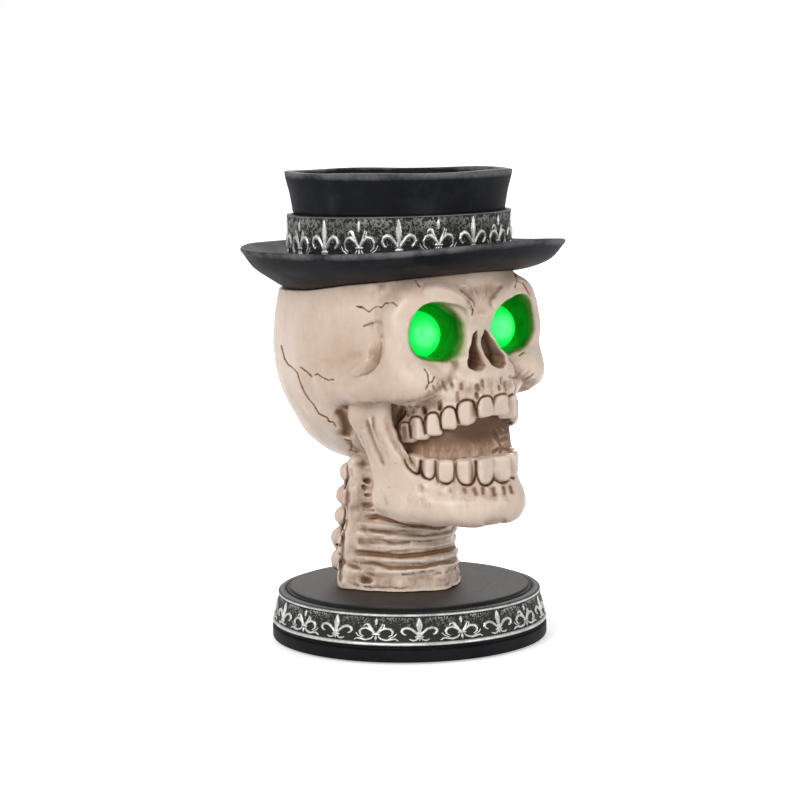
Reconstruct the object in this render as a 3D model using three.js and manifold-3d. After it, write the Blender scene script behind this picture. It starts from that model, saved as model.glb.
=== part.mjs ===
// Skull candle holder: a cast skull in a top hat, on a neck and a round plinth.
// The crown of the hat is an open cup for a pillar candle, and two lit domes sit in the eye sockets.
// Millimetres, +Z up, the face looks along -Y, origin on the table under the middle of the plinth.
import * as THREE from 'three';
import { mergeVertices } from 'three/addons/utils/BufferGeometryUtils.js';
import Module from 'manifold-3d';

const wasm = await Module();
wasm.setup();

// Driving dimensions

const clearance = 0.3; // between pieces that seat on each other
const runningGap = 0.5; // round a piece that moves
const overrun = 3; // how far a cutter passes the face that it opens
const mergeTolerance = 0.0001;

const pad = { radius: 7, height: 1.2, recess: 0.6, ringRadius: 62 };

const base = {
  radius: 75, bottom: 0.9, footTop: 7.4, footRound: 1.2, grooveDepth: 1.8, grooveHeight: 2.2,
  top: 28.6, stepInset: 9.6, stepHeight: 1.3, shoulderInset: 8.4, shoulderHeight: 0.7,
};

const frieze = {
  lowInset: 1.4, highInset: 4.4, thickness: 3.2,
  lowBead: 1.4, lowBeadHeight: 2.2, highBead: 0.9, highBeadHeight: 1.8, relief: 1.1,
};

const neck = {
  axis: 8, top: 106, halfWidth: 38, front: 33, back: 34, foldDepth: 0.9,
  knobReach: 5.5, lumpReach: 2.6, knobHalfHeight: 3.8, knobLow: 39, knobPitch: 12.3, channelRadius: 5,
};
const knobCount = 5;
const foldCount = 8;
const knobTurn = THREE.MathUtils.degToRad(14);
const lumpTurn = THREE.MathUtils.degToRad(44);
const domeRim = THREE.MathUtils.degToRad(112); // how far round its ball the lit dome reaches
const domeRimShare = Math.cos(domeRim);

const skull = { bottom: 97, underHat: 14, middle: -11, blend: 8, frontShare: 0.5 };

// Broad forms of the skull, run together: place of the middle, then half sizes. The upper two are
// placed by how far their middles lie below the seat of the hat.
const cranium = { forward: -17, height: 157, halfWidth: 60.5, halfDepth: 63, halfHeight: 61 };
const crown = { forward: -8, drop: 12, halfWidth: 58.8, halfDepth: 65, halfHeight: 51.5 };
const forehead = { forward: 7, drop: 6, halfWidth: 54.5, halfDepth: 53.5, halfHeight: 40 };
const midface = { forward: 25, height: 163, halfWidth: 48.5, halfDepth: 33, halfHeight: 27 };
const maxilla = { forward: 36.5, height: 138, halfWidth: 34.5, halfDepth: 33.8, halfHeight: 24, square: 2.6 };
const gum = { frontBottom: 131, rearBottom: 118, front: 72, rear: 12 };

// Swells of the face: turn from the front in degrees, height, how far each stands out and spreads
const faceSwells = {
  browInner: { degrees: 15, height: 187, out: 5, spread: 8, rise: 12 },
  browRidge: { degrees: 30, height: 189, out: 9, spread: 9, rise: 9 },
  browEnd: { degrees: 38, height: 177, out: 15, spread: 7, rise: 11 },
  orbitSide: { degrees: 38, height: 164, out: 9, spread: 6, rise: 7 },
  cheekBone: { degrees: 33, height: 150, out: 18, spread: 10, rise: 10 },
  archFront: { degrees: 52, height: 147, out: 15, spread: 15, rise: 9 },
  archRear: { degrees: 56, height: 139, out: 12, spread: 18, rise: 5 },
  noseBridge: { degrees: 0, height: 170, out: 5, spread: 10, rise: 15 },
};

const socket = { outset: 1.1, forward: 60, rise: 3.2, halfWidth: 16.8, halfDepth: 27, halfHeight: 16.4 };

const nostril = { side: 6.4, forward: 57.5, width: 10.5, height: 20, bottom: 150.4, depth: 16 };

const upperArch = { radius: 34.5, forward: 37.5, frontEdge: 127.5, rearEdge: 114.5 };
const lowerArch = { radius: 31.5, forward: 40, frontEdge: 105, rearEdge: 105.5 };
const tooth = { height: 13, upperThickness: 7, lowerThickness: 4.4, gap: 0.5 };
const mouth = { roof: 135, rear: 8 };

const jaw = {
  bottom: 70.5, bodyTop: 95, halfWidth: 38.5, front: 78.5, rear: 20, middle: 30,
  floor: 88,
  ramusThickness: 11.5, ramusBottom: 75, ramusTop: 138, ramusLowSide: 34.5, ramusHighSide: 43.5,
  ramusRear: 3, ramusLength: 53,
};

const hat = {
  seatHalfWidth: 57, seatFront: 62, seatBack: 73, seatHeight: 196, seatTilt: 5, seatSaddle: 1.5,
  brimRadius: 87.5, brimForward: -1.5, brimLift: 17.6, brimTilt: 4.3, brimSaddle: 1.6, brimLean: 1,
  brimEdge: 4.4, rootLift: 11.5, rootTilt: 3, cupLift: 22, crownLift: 56.6, crownTilt: 1.1,
  crownForward: -4.5, waistRadius: 57.8, bandSeatRadius: 56.6, rimRadius: 61.2, wall: 5, rimRound: 1.5,
};

const hatBand = { bottomGap: 0.4, topLift: 35.6, thickness: 3.2, bead: 0.5, relief: 1.1 };

const dome = { radius: 12.5, wall: 1.6, side: 26.4, forward: 40.2, drop: 26.2 };
const seat = { flangeRadius: 11.6, flangeThickness: 2, sleeveRadius: 7.4, sleeveLength: 10, lip: 2 };
const led = { radius: 2.5, length: 8.6, flangeRadius: 2.9, flangeThickness: 1 };
const lead = {
  radius: 0.8, side: 1.9, bendForward: 20, channelRadius: 2.6, joinHeight: 150, holeRadius: 1.4,
};

const cell = { radius: 5.1, length: 44.5, nubRadius: 2.7, nubLength: 0.9, pitch: 11.4 };
const contact = {
  width: 8.6, thickness: 0.5, springRoom: 4.6, wire: 0.45, springRadius: 3.1, tipRadius: 2.1,
};
const tray = { wall: 1.7, top: 17.6, forward: 19.5, earThickness: 3.4 };
const door = { thickness: 2, bottom: 1.2, knuckleRadius: 2.1, corner: 2.5, gripWidth: 12, gripDepth: 0.7 };
const hingePin = { radius: 0.8 };
const screw = {
  headRadius: 2.6, headHeight: 1.3, shankRadius: 1.3, shankLength: 5.4, inset: 4.6, slot: 0.7,
};
const slideSwitch = {
  width: 20, depth: 10, height: 9, bottom: 2, slotLength: 9.4, slotWidth: 4, slotDepth: 4,
  knobLength: 4.2, knobWidth: 3, knobProud: 0.9, travel: 4, flange: 1,
};

// How finely the round forms are divided

const aroundBase = 40;
const aroundHead = 32;
const skullRows = 20;
const halvings = 24;
const aroundJaw = 24;
const jawRows = 6;
const aroundHat = 32;
const aroundDome = 12;
const domeSteps = 4;
const aroundNeck = 28;
const neckRows = 20;
const aroundRamus = 10;
const ramusRows = 7;
const aroundBar = 12;
const aroundTooth = 8;
const aroundDiode = 8;
const wireSides = 4;
const leadSteps = 14;
const springSteps = 5; // to each turn
const padCount = 4;
const frontMotifs = 20;
const hatMotifs = 18;

// Finishes

const finish = {
  bone: { color: 0xd8cab8, roughness: 0.5, metalness: 0 },
  hat: { color: 0x25272a, roughness: 0.45, metalness: 0 },
  plinth: { color: 0x2a2a2a, roughness: 0.5, metalness: 0 },
  silver: { color: 0x8f8f8c, roughness: 0.4, metalness: 0.6 },
  glow: { color: 0x20e060, roughness: 0.3, metalness: 0, emissive: 0x00ff50 },
  plastic: { color: 0x1d1e20, roughness: 0.6, metalness: 0 },
  wire: { color: 0x8c1a1a, roughness: 0.5, metalness: 0 },
  steel: { color: 0xb8bcc0, roughness: 0.35, metalness: 0.9 },
  cell: { color: 0x6a6f74, roughness: 0.4, metalness: 0.3 },
  foam: { color: 0x303030, roughness: 0.9, metalness: 0 },
};

// Geometry helpers

function bareGeometry(geometry) {
  const bare = new THREE.BufferGeometry();
  bare.setAttribute('position', geometry.getAttribute('position').clone());
  if (geometry.index) bare.setIndex(geometry.index.clone());
  const merged = mergeVertices(bare, mergeTolerance);
  const corners = merged.index.array;
  const kept = [];
  for (let i = 0; i < corners.length; i += 3) {
    const [a, b, c] = [corners[i], corners[i + 1], corners[i + 2]];
    if (a !== b && b !== c && c !== a) kept.push(a, b, c);
  }
  merged.setIndex(kept);
  return signedVolume(merged) < 0 ? turnedOut(merged) : merged;
}

function signedVolume(geometry) {
  const place = geometry.getAttribute('position');
  const corners = geometry.index.array;
  const [a, b, c] = [new THREE.Vector3(), new THREE.Vector3(), new THREE.Vector3()];
  let total = 0;
  for (let i = 0; i < corners.length; i += 3) {
    a.fromBufferAttribute(place, corners[i]);
    b.fromBufferAttribute(place, corners[i + 1]);
    c.fromBufferAttribute(place, corners[i + 2]);
    total += a.dot(b.cross(c));
  }
  return total;
}

function turnedOut(geometry) {
  const corners = Array.from(geometry.index.array);
  for (let i = 0; i < corners.length; i += 3) {
    [corners[i + 1], corners[i + 2]] = [corners[i + 2], corners[i + 1]];
  }
  geometry.setIndex(corners);
  return geometry;
}

function solid(geometry) {
  const bare = bareGeometry(geometry);
  return new wasm.Manifold(new wasm.Mesh({
    numProp: 3,
    vertProperties: new Float32Array(bare.getAttribute('position').array),
    triVerts: new Uint32Array(bare.index.array),
  }));
}

function fromSolid(body) {
  const mesh = body.getMesh();
  const geometry = new THREE.BufferGeometry();
  geometry.setAttribute('position', new THREE.BufferAttribute(new Float32Array(mesh.vertProperties), 3));
  geometry.setIndex(Array.from(mesh.triVerts));
  return geometry;
}

const joined = (bodies) => bodies.reduce((whole, body) => whole.add(body));
const cutBy = (body, cutters) => cutters.reduce((left, cutter) => left.subtract(cutter), body);

function material(look) {
  return new THREE.MeshStandardMaterial(look);
}

function piece(name, geometry, look) {
  const shown = geometry instanceof THREE.BufferGeometry ? bareGeometry(geometry) : fromSolid(geometry);
  const mesh = new THREE.Mesh(shown, material(look));
  mesh.name = name;
  return mesh;
}

// A skin over rings of points, closed at both ends by a fan to the middle of the ring, or, when
// closed is true, running on from the last ring to the first
function loft(rings, closed = false) {
  const count = rings[0].length;
  const places = rings.flat().flatMap((point) => [point.x, point.y, point.z]);
  const corners = [];
  for (let k = 0; k + 1 < rings.length; k += 1) {
    for (let i = 0; i < count; i += 1) {
      const [a, b] = [k * count + i, k * count + ((i + 1) % count)];
      corners.push(a, b, b + count, a, b + count, a + count);
    }
  }
  if (closed) {
    const last = (rings.length - 1) * count;
    for (let i = 0; i < count; i += 1) {
      const [a, b] = [i, (i + 1) % count];
      corners.push(last + a, last + b, b, last + a, b, a);
    }
  }
  for (const [k, turn] of closed ? [] : [[0, 1], [rings.length - 1, 0]]) {
    const middle = rings[k].reduce((sum, point) => sum.add(point), new THREE.Vector3()).divideScalar(count);
    const hub = places.length / 3;
    places.push(middle.x, middle.y, middle.z);
    for (let i = 0; i < count; i += 1) {
      const [a, b] = [k * count + i, k * count + ((i + 1) % count)];
      corners.push(hub, turn ? b : a, turn ? a : b);
    }
  }
  const geometry = new THREE.BufferGeometry();
  geometry.setAttribute('position', new THREE.Float32BufferAttribute(places, 3));
  geometry.setIndex(corners);
  return geometry;
}

// Smooth values along a table whose first column is the position from 0 to 1
function smoothTable(rows) {
  const width = rows[0].length - 1;
  const values = rows.flatMap((row) => row.slice(1));
  const curve = new THREE.CubicInterpolant(rows.map((row) => row[0]), values, width);
  return (share) => Array.from(curve.evaluate(share));
}

const turnsRound = (count) => Array.from({ length: count }, (_, i) => (i / count) * 2 * Math.PI);
const power = (value, exponent) => Math.sign(value) * Math.abs(value) ** exponent;

// A level oval ring; angle 0 is the front, and the squareness is the oval's exponent
function ovalRing(count, { halfWidth, front, back, forward, height, square }) {
  return Array.from({ length: count }, (_, i) => {
    const angle = (i / count) * 2 * Math.PI;
    const reach = Math.cos(angle) > 0 ? front - forward : back + forward;
    const x = halfWidth * power(Math.sin(angle), 2 / square);
    return new THREE.Vector3(x, -forward - reach * power(Math.cos(angle), 2 / square), height);
  });
}

function block(width, depth, height, x, y, bottom) {
  return new THREE.BoxGeometry(width, depth, height).translate(x, y, bottom + height / 2);
}

// An upright round bar
function bar(radius, bottom, top, x, y) {
  const height = top - bottom;
  const geometry = new THREE.CylinderGeometry(radius, radius, height, aroundBar).rotateX(Math.PI / 2);
  return geometry.translate(x, y, bottom + height / 2);
}

// A solid of revolution about the upright axis, from a profile of radius and height
function turned(profile, around) {
  const points = profile.map(([radius, height]) => new THREE.Vector2(radius, height));
  return new THREE.LatheGeometry(points, around).rotateX(Math.PI / 2);
}

function tube(curve, radius, steps, sides) {
  const section = new THREE.Shape();
  for (let i = 0; i < sides; i += 1) {
    const angle = (i / sides) * 2 * Math.PI;
    const [x, y] = [radius * Math.cos(angle), radius * Math.sin(angle)];
    if (i === 0) section.moveTo(x, y);
    else section.lineTo(x, y);
  }
  return new THREE.ExtrudeGeometry(section, { steps, extrudePath: curve, curveSegments: 1 });
}

function roundedRectangle(width, depth, corner) {
  const [x, y] = [width / 2, depth / 2];
  const shape = new THREE.Shape();
  shape.moveTo(-x + corner, -y);
  shape.lineTo(x - corner, -y);
  shape.absarc(x - corner, -y + corner, corner, -Math.PI / 2, 0);
  shape.lineTo(x, y - corner);
  shape.absarc(x - corner, y - corner, corner, 0, Math.PI / 2);
  shape.lineTo(-x + corner, y);
  shape.absarc(-x + corner, y - corner, corner, Math.PI / 2, Math.PI);
  shape.lineTo(-x, -y + corner);
  shape.absarc(-x + corner, -y + corner, corner, Math.PI, 1.5 * Math.PI);
  return shape;
}

const ahead = (x, forward, z) => new THREE.Vector3(x, -forward, z);

// Fleur-de-lis relief: half outlines as shares of the half width and height, mirrored about the middle

const lilyFillShares = { width: 0.86, height: 0.96 };
const lilyFor = (i) => (i % 2 === 0 ? tallLilyShares : scrollLilyShares);
const tallLilyShares = [
  [0.4, 0.04], [0.15, 0.32], [0.98, 0.3], [0.72, 0.66], [0.14, 0.46], [0.25, 0.74], [0, 1],
];
const scrollLilyShares = [
  [0.1, 0], [0.98, 0.06], [0.45, 0.28], [0.88, 0.56], [0.16, 0.5], [0.4, 0.86], [0, 1],
];

function lilyShape(halfShares, halfWidth, height) {
  const half = halfShares.map(([x, y]) => [x * halfWidth, y * height]);
  const mirror = half.slice(0, -1).reverse().map(([x, y]) => [-x, y]);
  return new THREE.Shape([...half, ...mirror].map(([x, y]) => new THREE.Vector2(x, y)));
}

// One raised lily, standing on a wall that leans in by `slope`, its back sunk in the wall
function raisedLily(halfShares, halfWidth, height, relief, radius, bottom, slope, turn) {
  const lily = new THREE.ExtrudeGeometry(lilyShape(halfShares, halfWidth, height), {
    depth: 2 * relief, bevelEnabled: false, curveSegments: 1,
  });
  lily.rotateX(Math.PI / 2).rotateX(-slope).translate(0, -radius + relief, bottom);
  return solid(lily.rotateZ(turn));
}

// Foot pads

function footPads() {
  return turnsRound(padCount).map((turn, i) => {
    const angle = turn + Math.PI / padCount;
    const geometry = bar(pad.radius, 0, pad.height, 0, 0);
    const mesh = piece(`foot_pad_${i + 1}`, geometry, finish.foam);
    mesh.position.set(pad.ringRadius * Math.cos(angle), pad.ringRadius * Math.sin(angle), 0);
    return mesh;
  });
}

function padRecesses() {
  return footPads().map((mesh) => solid(bar(
    pad.radius + clearance, base.bottom - overrun, base.bottom + pad.recess, mesh.position.x, mesh.position.y,
  )));
}

// Plinth and its relief frieze

const stepBottom = base.top - base.stepHeight;
const friezeBottom = base.footTop + base.grooveHeight;
const friezeTop = stepBottom - base.shoulderHeight;
const friezeOuter = { low: base.radius - frieze.lowInset, high: base.radius - frieze.highInset };
const friezeInner = { low: friezeOuter.low - frieze.thickness, high: friezeOuter.high - frieze.thickness };
const friezeSlope = Math.atan2(friezeOuter.low - friezeOuter.high, friezeTop - friezeBottom);

function plinthForm() {
  return solid(turned([
    [0, base.bottom],
    [base.radius - base.footRound, base.bottom],
    [base.radius, base.bottom + base.footRound],
    [base.radius, base.footTop],
    [base.radius - base.grooveDepth, base.footTop + base.footRound / 2],
    [base.radius - base.grooveDepth, friezeBottom - clearance],
    [friezeInner.low - clearance, friezeBottom - clearance],
    [friezeInner.high - clearance, friezeTop],
    [base.radius - base.shoulderInset, stepBottom],
    [base.radius - base.stepInset, stepBottom],
    [base.radius - base.stepInset, base.top],
    [0, base.top],
  ], aroundBase));
}

function friezeRing() {
  const lowTop = friezeBottom + frieze.lowBeadHeight;
  const highBottom = friezeTop - frieze.highBeadHeight;
  const ring = solid(turned([
    [friezeInner.low, friezeBottom],
    [friezeOuter.low + frieze.lowBead, friezeBottom],
    [friezeOuter.low + frieze.lowBead, lowTop - frieze.lowBeadHeight / 2],
    [friezeOuter.low, lowTop],
    [friezeOuter.high, highBottom],
    [friezeOuter.high + frieze.highBead, friezeTop],
    [friezeInner.high, friezeTop],
    [friezeInner.low, friezeBottom],
  ], aroundBase));
  const fieldHeight = highBottom - lowTop;
  const halfWidth = (Math.PI * friezeOuter.high) / frontMotifs * lilyFillShares.width;
  const lilies = turnsRound(frontMotifs).map((turn, i) => raisedLily(
    lilyFor(i), halfWidth, fieldHeight * lilyFillShares.height, frieze.relief,
    friezeOuter.low, lowTop, friezeSlope, turn,
  ));
  return joined([ring, ...lilies]);
}

// Battery box in the plinth, worked out from the cells

const cellCount = 3;
const boxInside = {
  length: cell.length + cell.nubLength + contact.springRoom + 2 * contact.thickness + 4 * clearance,
  width: (cellCount - 1) * cell.pitch + 2 * cell.radius + 2 * clearance,
};
const doorTop = door.bottom + door.thickness;
const trayBottom = doorTop + clearance;
const screwZone = 2 * screw.inset;
const hingeZone = 2 * (door.knuckleRadius + runningGap);
const boxOutside = {
  left: -boxInside.length / 2 - tray.wall - hingeZone / 2,
  right: boxInside.length / 2 + tray.wall + screwZone,
  width: boxInside.width + 2 * tray.wall,
};
const boxMiddle = (boxOutside.left + boxOutside.right) / 2;
const boxLength = boxOutside.right - boxOutside.left;
const hingeX = boxOutside.left + door.knuckleRadius;
const hingeHeight = door.bottom + door.knuckleRadius;
const boxY = -tray.forward;
const cellHeight = trayBottom + clearance + cell.radius;
const screwX = boxOutside.right - screw.inset;
const earY = boxOutside.width / 2 - tray.earThickness / 2;

function batteryPocket() {
  const gap = 2 * clearance;
  return [
    solid(block(boxLength + gap, boxOutside.width + gap, tray.top + clearance - base.bottom + overrun,
      boxMiddle, boxY, base.bottom - overrun)),
    solid(block(slideSwitch.width + gap, slideSwitch.depth + gap,
      slideSwitch.bottom + slideSwitch.height + clearance - base.bottom + overrun,
      0, neck.axis, base.bottom - overrun)),
    solid(bar(neck.channelRadius, slideSwitch.bottom + slideSwitch.height - overrun, base.top + overrun,
      0, neck.axis)),
    leadHole(),
  ];
}

function trayPiece() {
  const whole = solid(block(boxLength, boxOutside.width, tray.top - trayBottom, boxMiddle, boxY, trayBottom));
  const room = solid(block(boxInside.length, boxInside.width, tray.top - tray.wall - trayBottom + overrun,
    0, boxY, trayBottom - overrun));
  const knuckleRoom = solid(block(hingeZone + overrun, boxOutside.width + overrun,
    2 * (door.knuckleRadius + runningGap), boxOutside.left + hingeZone / 2 - overrun / 2, boxY,
    hingeHeight - door.knuckleRadius - runningGap));
  const ears = [-1, 1].map((side) => solid(block(2 * door.knuckleRadius, tray.earThickness,
    tray.top - hingeHeight, hingeX, boxY + side * earY, door.bottom)));
  const pinBore = solid(new THREE.CylinderGeometry(hingePin.radius + clearance, hingePin.radius + clearance,
    boxOutside.width + 2 * overrun, aroundBar).translate(hingeX, boxY, hingeHeight));
  const screwBore = solid(bar(screw.shankRadius + runningGap, trayBottom - overrun,
    trayBottom + screw.shankLength, screwX, boxY));
  return cutBy(joined([cutBy(whole, [room, knuckleRoom]), ...ears]), [pinBore, screwBore, leadHole()]);
}

// The short lead from the battery box to the switch, and the hole that it lies in

function acrossBar(radius, from, to, height, around) {
  const geometry = new THREE.CylinderGeometry(radius, radius, to - from, around);
  return geometry.translate(0, (from + to) / 2, height);
}
const leadFrom = boxY + boxInside.width / 2;
const leadTo = neck.axis - slideSwitch.depth / 2 - clearance;
const leadHoleHeight = trayBottom + 2 * lead.holeRadius;

const leadHole = () => solid(acrossBar(lead.holeRadius, leadFrom - overrun / 2, leadTo + overrun / 2,
  leadHoleHeight, aroundBar));
const batteryLeadForm = () => acrossBar(lead.radius, leadFrom + clearance, leadTo, leadHoleHeight, aroundBar);

const hingePinForm = () => new THREE.CylinderGeometry(hingePin.radius, hingePin.radius,
  boxOutside.width - 2 * clearance, aroundBar).translate(hingeX, boxY, hingeHeight);

function doorPiece() {
  const left = hingeX;
  const right = boxOutside.right - clearance;
  const width = boxOutside.width - 2 * clearance;
  const panel = solid(new THREE.ExtrudeGeometry(roundedRectangle(right - left, width, door.corner), {
    depth: door.thickness, bevelEnabled: false, curveSegments: 3,
  }).translate((left + right) / 2, boxY, door.bottom));
  const knuckleLength = 2 * (earY - tray.earThickness / 2 - runningGap);
  const knuckle = solid(new THREE.CylinderGeometry(door.knuckleRadius, door.knuckleRadius, knuckleLength,
    aroundBar).translate(hingeX, boxY, hingeHeight));
  const notchReach = Math.SQRT2 * door.knuckleRadius + runningGap;
  const earNotches = [-1, 1].map((side) => solid(block(2 * notchReach, tray.earThickness + 2 * runningGap,
    door.thickness + 2 * overrun, hingeX, boxY + side * earY, door.bottom - overrun)));
  const pinBore = solid(new THREE.CylinderGeometry(hingePin.radius + clearance, hingePin.radius + clearance,
    boxOutside.width, aroundBar).translate(hingeX, boxY, hingeHeight));
  const screwBore = solid(bar(screw.shankRadius + clearance, door.bottom - overrun, doorTop + overrun,
    screwX, boxY));
  const headRecess = solid(bar(screw.headRadius + clearance, door.bottom - overrun,
    door.bottom + screw.headHeight, screwX, boxY));
  const grips = [-1, 0, 1].map((step) => solid(block(door.gripDepth, door.gripWidth, door.gripDepth,
    screwX - 2 * screw.inset - 3 * door.gripDepth * step, boxY, door.bottom - door.gripDepth / 2)));
  return cutBy(joined([panel, knuckle]), [...earNotches, pinBore, screwBore, headRecess, ...grips]);
}

function screwPiece() {
  const top = door.bottom + screw.headHeight - clearance;
  const head = solid(bar(screw.headRadius, top - screw.headHeight + clearance, top, screwX, boxY));
  const shank = solid(bar(screw.shankRadius, top - clearance, top + screw.shankLength, screwX, boxY));
  const slot = solid(block(2 * screw.headRadius + overrun, screw.slot, screw.slot, screwX, boxY,
    door.bottom - screw.slot / 3));
  return head.add(shank).subtract(slot);
}

function batteryPieces() {
  const pieces = [];
  const plateX = boxInside.length / 2 - clearance - contact.thickness / 2;
  for (let i = 0; i < cellCount; i += 1) {
    const y = boxY + (i - (cellCount - 1) / 2) * cell.pitch;
    const way = i % 2 === 0 ? 1 : -1;
    const group = new THREE.Group();
    group.position.set(0, y, cellHeight);
    group.rotation.z = way > 0 ? 0 : Math.PI;
    const nubEnd = plateX - contact.thickness / 2 - clearance;
    const body = turned([
      [0, 0], [cell.radius - clearance, 0], [cell.radius, clearance], [cell.radius, cell.length],
      [cell.nubRadius, cell.length], [cell.nubRadius, cell.length + cell.nubLength],
      [0, cell.length + cell.nubLength],
    ], aroundBar).rotateY(Math.PI / 2).translate(nubEnd - cell.length - cell.nubLength, 0, 0);
    group.add(piece(`battery_cell_${i + 1}`, body, finish.cell));
    const plate = new THREE.BoxGeometry(contact.thickness, contact.width, contact.width);
    group.add(piece(`contact_plate_${i + 1}`, plate.translate(plateX, 0, 0), finish.steel));
    group.add(springPiece(`contact_spring_${i + 1}`, -plateX - contact.thickness / 2,
      nubEnd - cell.length - cell.nubLength - clearance));
    pieces.push(group);
  }
  return pieces;
}

// A conical contact spring on its own back plate, wound on one helix
class SpringCurve extends THREE.Curve {
  constructor(start, end, turns) {
    super();
    Object.assign(this, { start, end, turns });
  }

  getPoint(share, target = new THREE.Vector3()) {
    const angle = share * this.turns * 2 * Math.PI;
    const radius = THREE.MathUtils.lerp(contact.springRadius, contact.tipRadius, share);
    const x = THREE.MathUtils.lerp(this.start, this.end, share);
    return target.set(x, radius * Math.cos(angle), radius * Math.sin(angle));
  }
}
const springTurns = 3;

function springPiece(name, start, end) {
  const inner = start + contact.thickness;
  const plate = solid(new THREE.BoxGeometry(contact.thickness, contact.width, contact.width)
    .translate(start + contact.thickness / 2, 0, 0));
  const curve = new SpringCurve(inner, end - contact.wire, springTurns);
  const coil = solid(tube(curve, contact.wire, springTurns * springSteps, wireSides));
  return piece(name, plate.add(coil), finish.steel);
}

// Slide switch under the plinth, behind the battery box

function switchPieces() {
  const { width, depth, height, bottom, slotLength, slotWidth, slotDepth } = slideSwitch;
  const body = cutBy(solid(block(width, depth, height, 0, neck.axis, bottom)), [
    solid(block(slotLength, slotWidth, slotDepth + overrun, 0, neck.axis, bottom - overrun)),
  ]);
  const flange = slideSwitch.flange;
  const knobHeight = slotDepth - runningGap + slideSwitch.knobProud;
  const rest = -slideSwitch.travel / 2;
  const knob = block(slideSwitch.knobLength, slideSwitch.knobWidth, knobHeight, rest, neck.axis,
    bottom - slideSwitch.knobProud);
  const rib = block(flange, slideSwitch.knobWidth, 2 * flange, rest, neck.axis,
    bottom - slideSwitch.knobProud + flange / 2);
  return [
    piece('switch_body', body, finish.plastic),
    piece('switch_slider', cutBy(solid(knob), [solid(rib.translate(0, 0, -2 * flange))]), finish.steel),
  ];
}

// Neck: an oval column of folds in front, with knobs down its back and lumps beside them

const neckTable = smoothTable([
  [0, 1.07, 1, 1.05], [0.06, 1, 0.94, 1], [0.2, 0.95, 0.88, 0.98], [0.4, 0.93, 0.82, 0.95],
  [0.6, 0.92, 0.8, 0.94], [0.8, 0.92, 0.78, 0.92], [1, 0.9, 0.76, 0.9],
]);

const nearness = (distance, reach) => Math.exp(-((distance / reach) ** 2));

// How far the knobs and lumps stand out at a height, for a point at a turn from the front
function vertebraSwell(turn, height) {
  const nearest = Math.round((height - neck.knobLow) / neck.knobPitch);
  const level = THREE.MathUtils.clamp(nearest, 0, knobCount - 1) * neck.knobPitch + neck.knobLow;
  const behind = Math.abs(Math.abs(turn) - Math.PI);
  const beside = Math.abs(behind - lumpTurn);
  const round = nearness(height - level, neck.knobHalfHeight);
  return round * (neck.knobReach * nearness(behind, knobTurn) + neck.lumpReach * nearness(beside, knobTurn));
}

function neckRing(share, top, grow, detail) {
  const [side, front, back] = neckTable(share);
  const height = base.top + clearance + share * (top - base.top - clearance);
  const fold = detail * neck.foldDepth * Math.cos(share * foldCount * 2 * Math.PI);
  const ring = ovalRing(aroundNeck, {
    halfWidth: neck.halfWidth * side + fold / 2 + grow,
    front: neck.front * front + fold + grow,
    back: (neck.back + neck.axis) * back + grow,
    forward: -neck.axis,
    height,
    square: 1.75,
  });
  return ring.map((point) => {
    const outward = new THREE.Vector3(point.x, point.y - neck.axis, 0).normalize();
    const swell = vertebraSwell(Math.atan2(point.x, neck.axis - point.y), height);
    return point.addScaledVector(outward, detail * swell);
  });
}

function neckPiece() {
  const rings = Array.from({ length: neckRows + 1 }, (_, k) => neckRing(k / neckRows, neck.top, 0, 1));
  const channel = solid(bar(neck.channelRadius, base.top - overrun, neck.top + overrun, 0, neck.axis));
  return solid(loft(rings)).subtract(channel);
}

// The room that the neck needs in the skull and between the rami
const neckRoomShares = [0.45, 0.7, 1];
function neckRoom() {
  const swell = neck.foldDepth + neck.lumpReach / 2;
  const grow = clearance + swell;
  return solid(loft(neckRoomShares.map((share) => neckRing(share, neck.top + clearance, grow, 0))));
}

// Teeth stand round an arch; each is a rounded block turned with the arch

const toothTurnShares = [0.105, 0.31, 0.495, 0.66, 0.825, 0.985];
const toothWidthShares = [0.205, 0.19, 0.165, 0.165, 0.16, 0.15];
const toothSquareShare = 0.6;
const toothArchTurn = THREE.MathUtils.degToRad(92);

function teeth(arch, thickness, way) {
  const bodies = [];
  for (const side of [-1, 1]) {
    toothTurnShares.forEach((share, i) => {
      const turn = share * toothArchTurn;
      const width = toothWidthShares[i] * toothArchTurn * arch.radius - tooth.gap;
      const edge = THREE.MathUtils.lerp(arch.frontEdge, arch.rearEdge, share ** 1.5);
      const crown = new THREE.SphereGeometry(1, aroundTooth, aroundTooth / 2).rotateX(Math.PI / 2);
      const place = crown.getAttribute('position');
      for (let k = 0; k < place.count; k += 1) {
        const [x, y, z] = [place.getX(k), place.getY(k), place.getZ(k)];
        place.setXYZ(k, power(x, toothSquareShare), power(y, toothSquareShare), power(z, toothSquareShare));
      }
      crown.scale(width / 2, thickness / 2, tooth.height / 2);
      crown.translate(0, thickness / 2 - arch.radius, edge + way * (tooth.height / 2));
      bodies.push(solid(crown.rotateZ(side * turn).translate(0, -arch.forward, 0)));
    });
  }
  return bodies;
}

// Jaw: a U-shaped body with its chin, two upright rami and the lower teeth

const jawTable = smoothTable([
  [0, 0.84, 0.95], [0.1, 0.94, 0.99], [0.3, 1, 1], [0.55, 0.98, 0.965], [0.8, 0.93, 0.93], [1, 0.9, 0.92],
]);

// Rear edge and front edge as shares of the ramus length, then how far out it stands
const ramusTable = smoothTable([
  [0, 0.44, 0.88, 0], [0.06, 0.38, 0.98, 0.03], [0.2, 0.34, 1, 0.12], [0.34, 0.33, 0.93, 0.3],
  [0.48, 0.26, 0.78, 0.5], [0.64, 0.13, 0.67, 0.7], [0.8, 0.02, 0.6, 0.9], [1, 0, 0.5, 1],
]);

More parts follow.
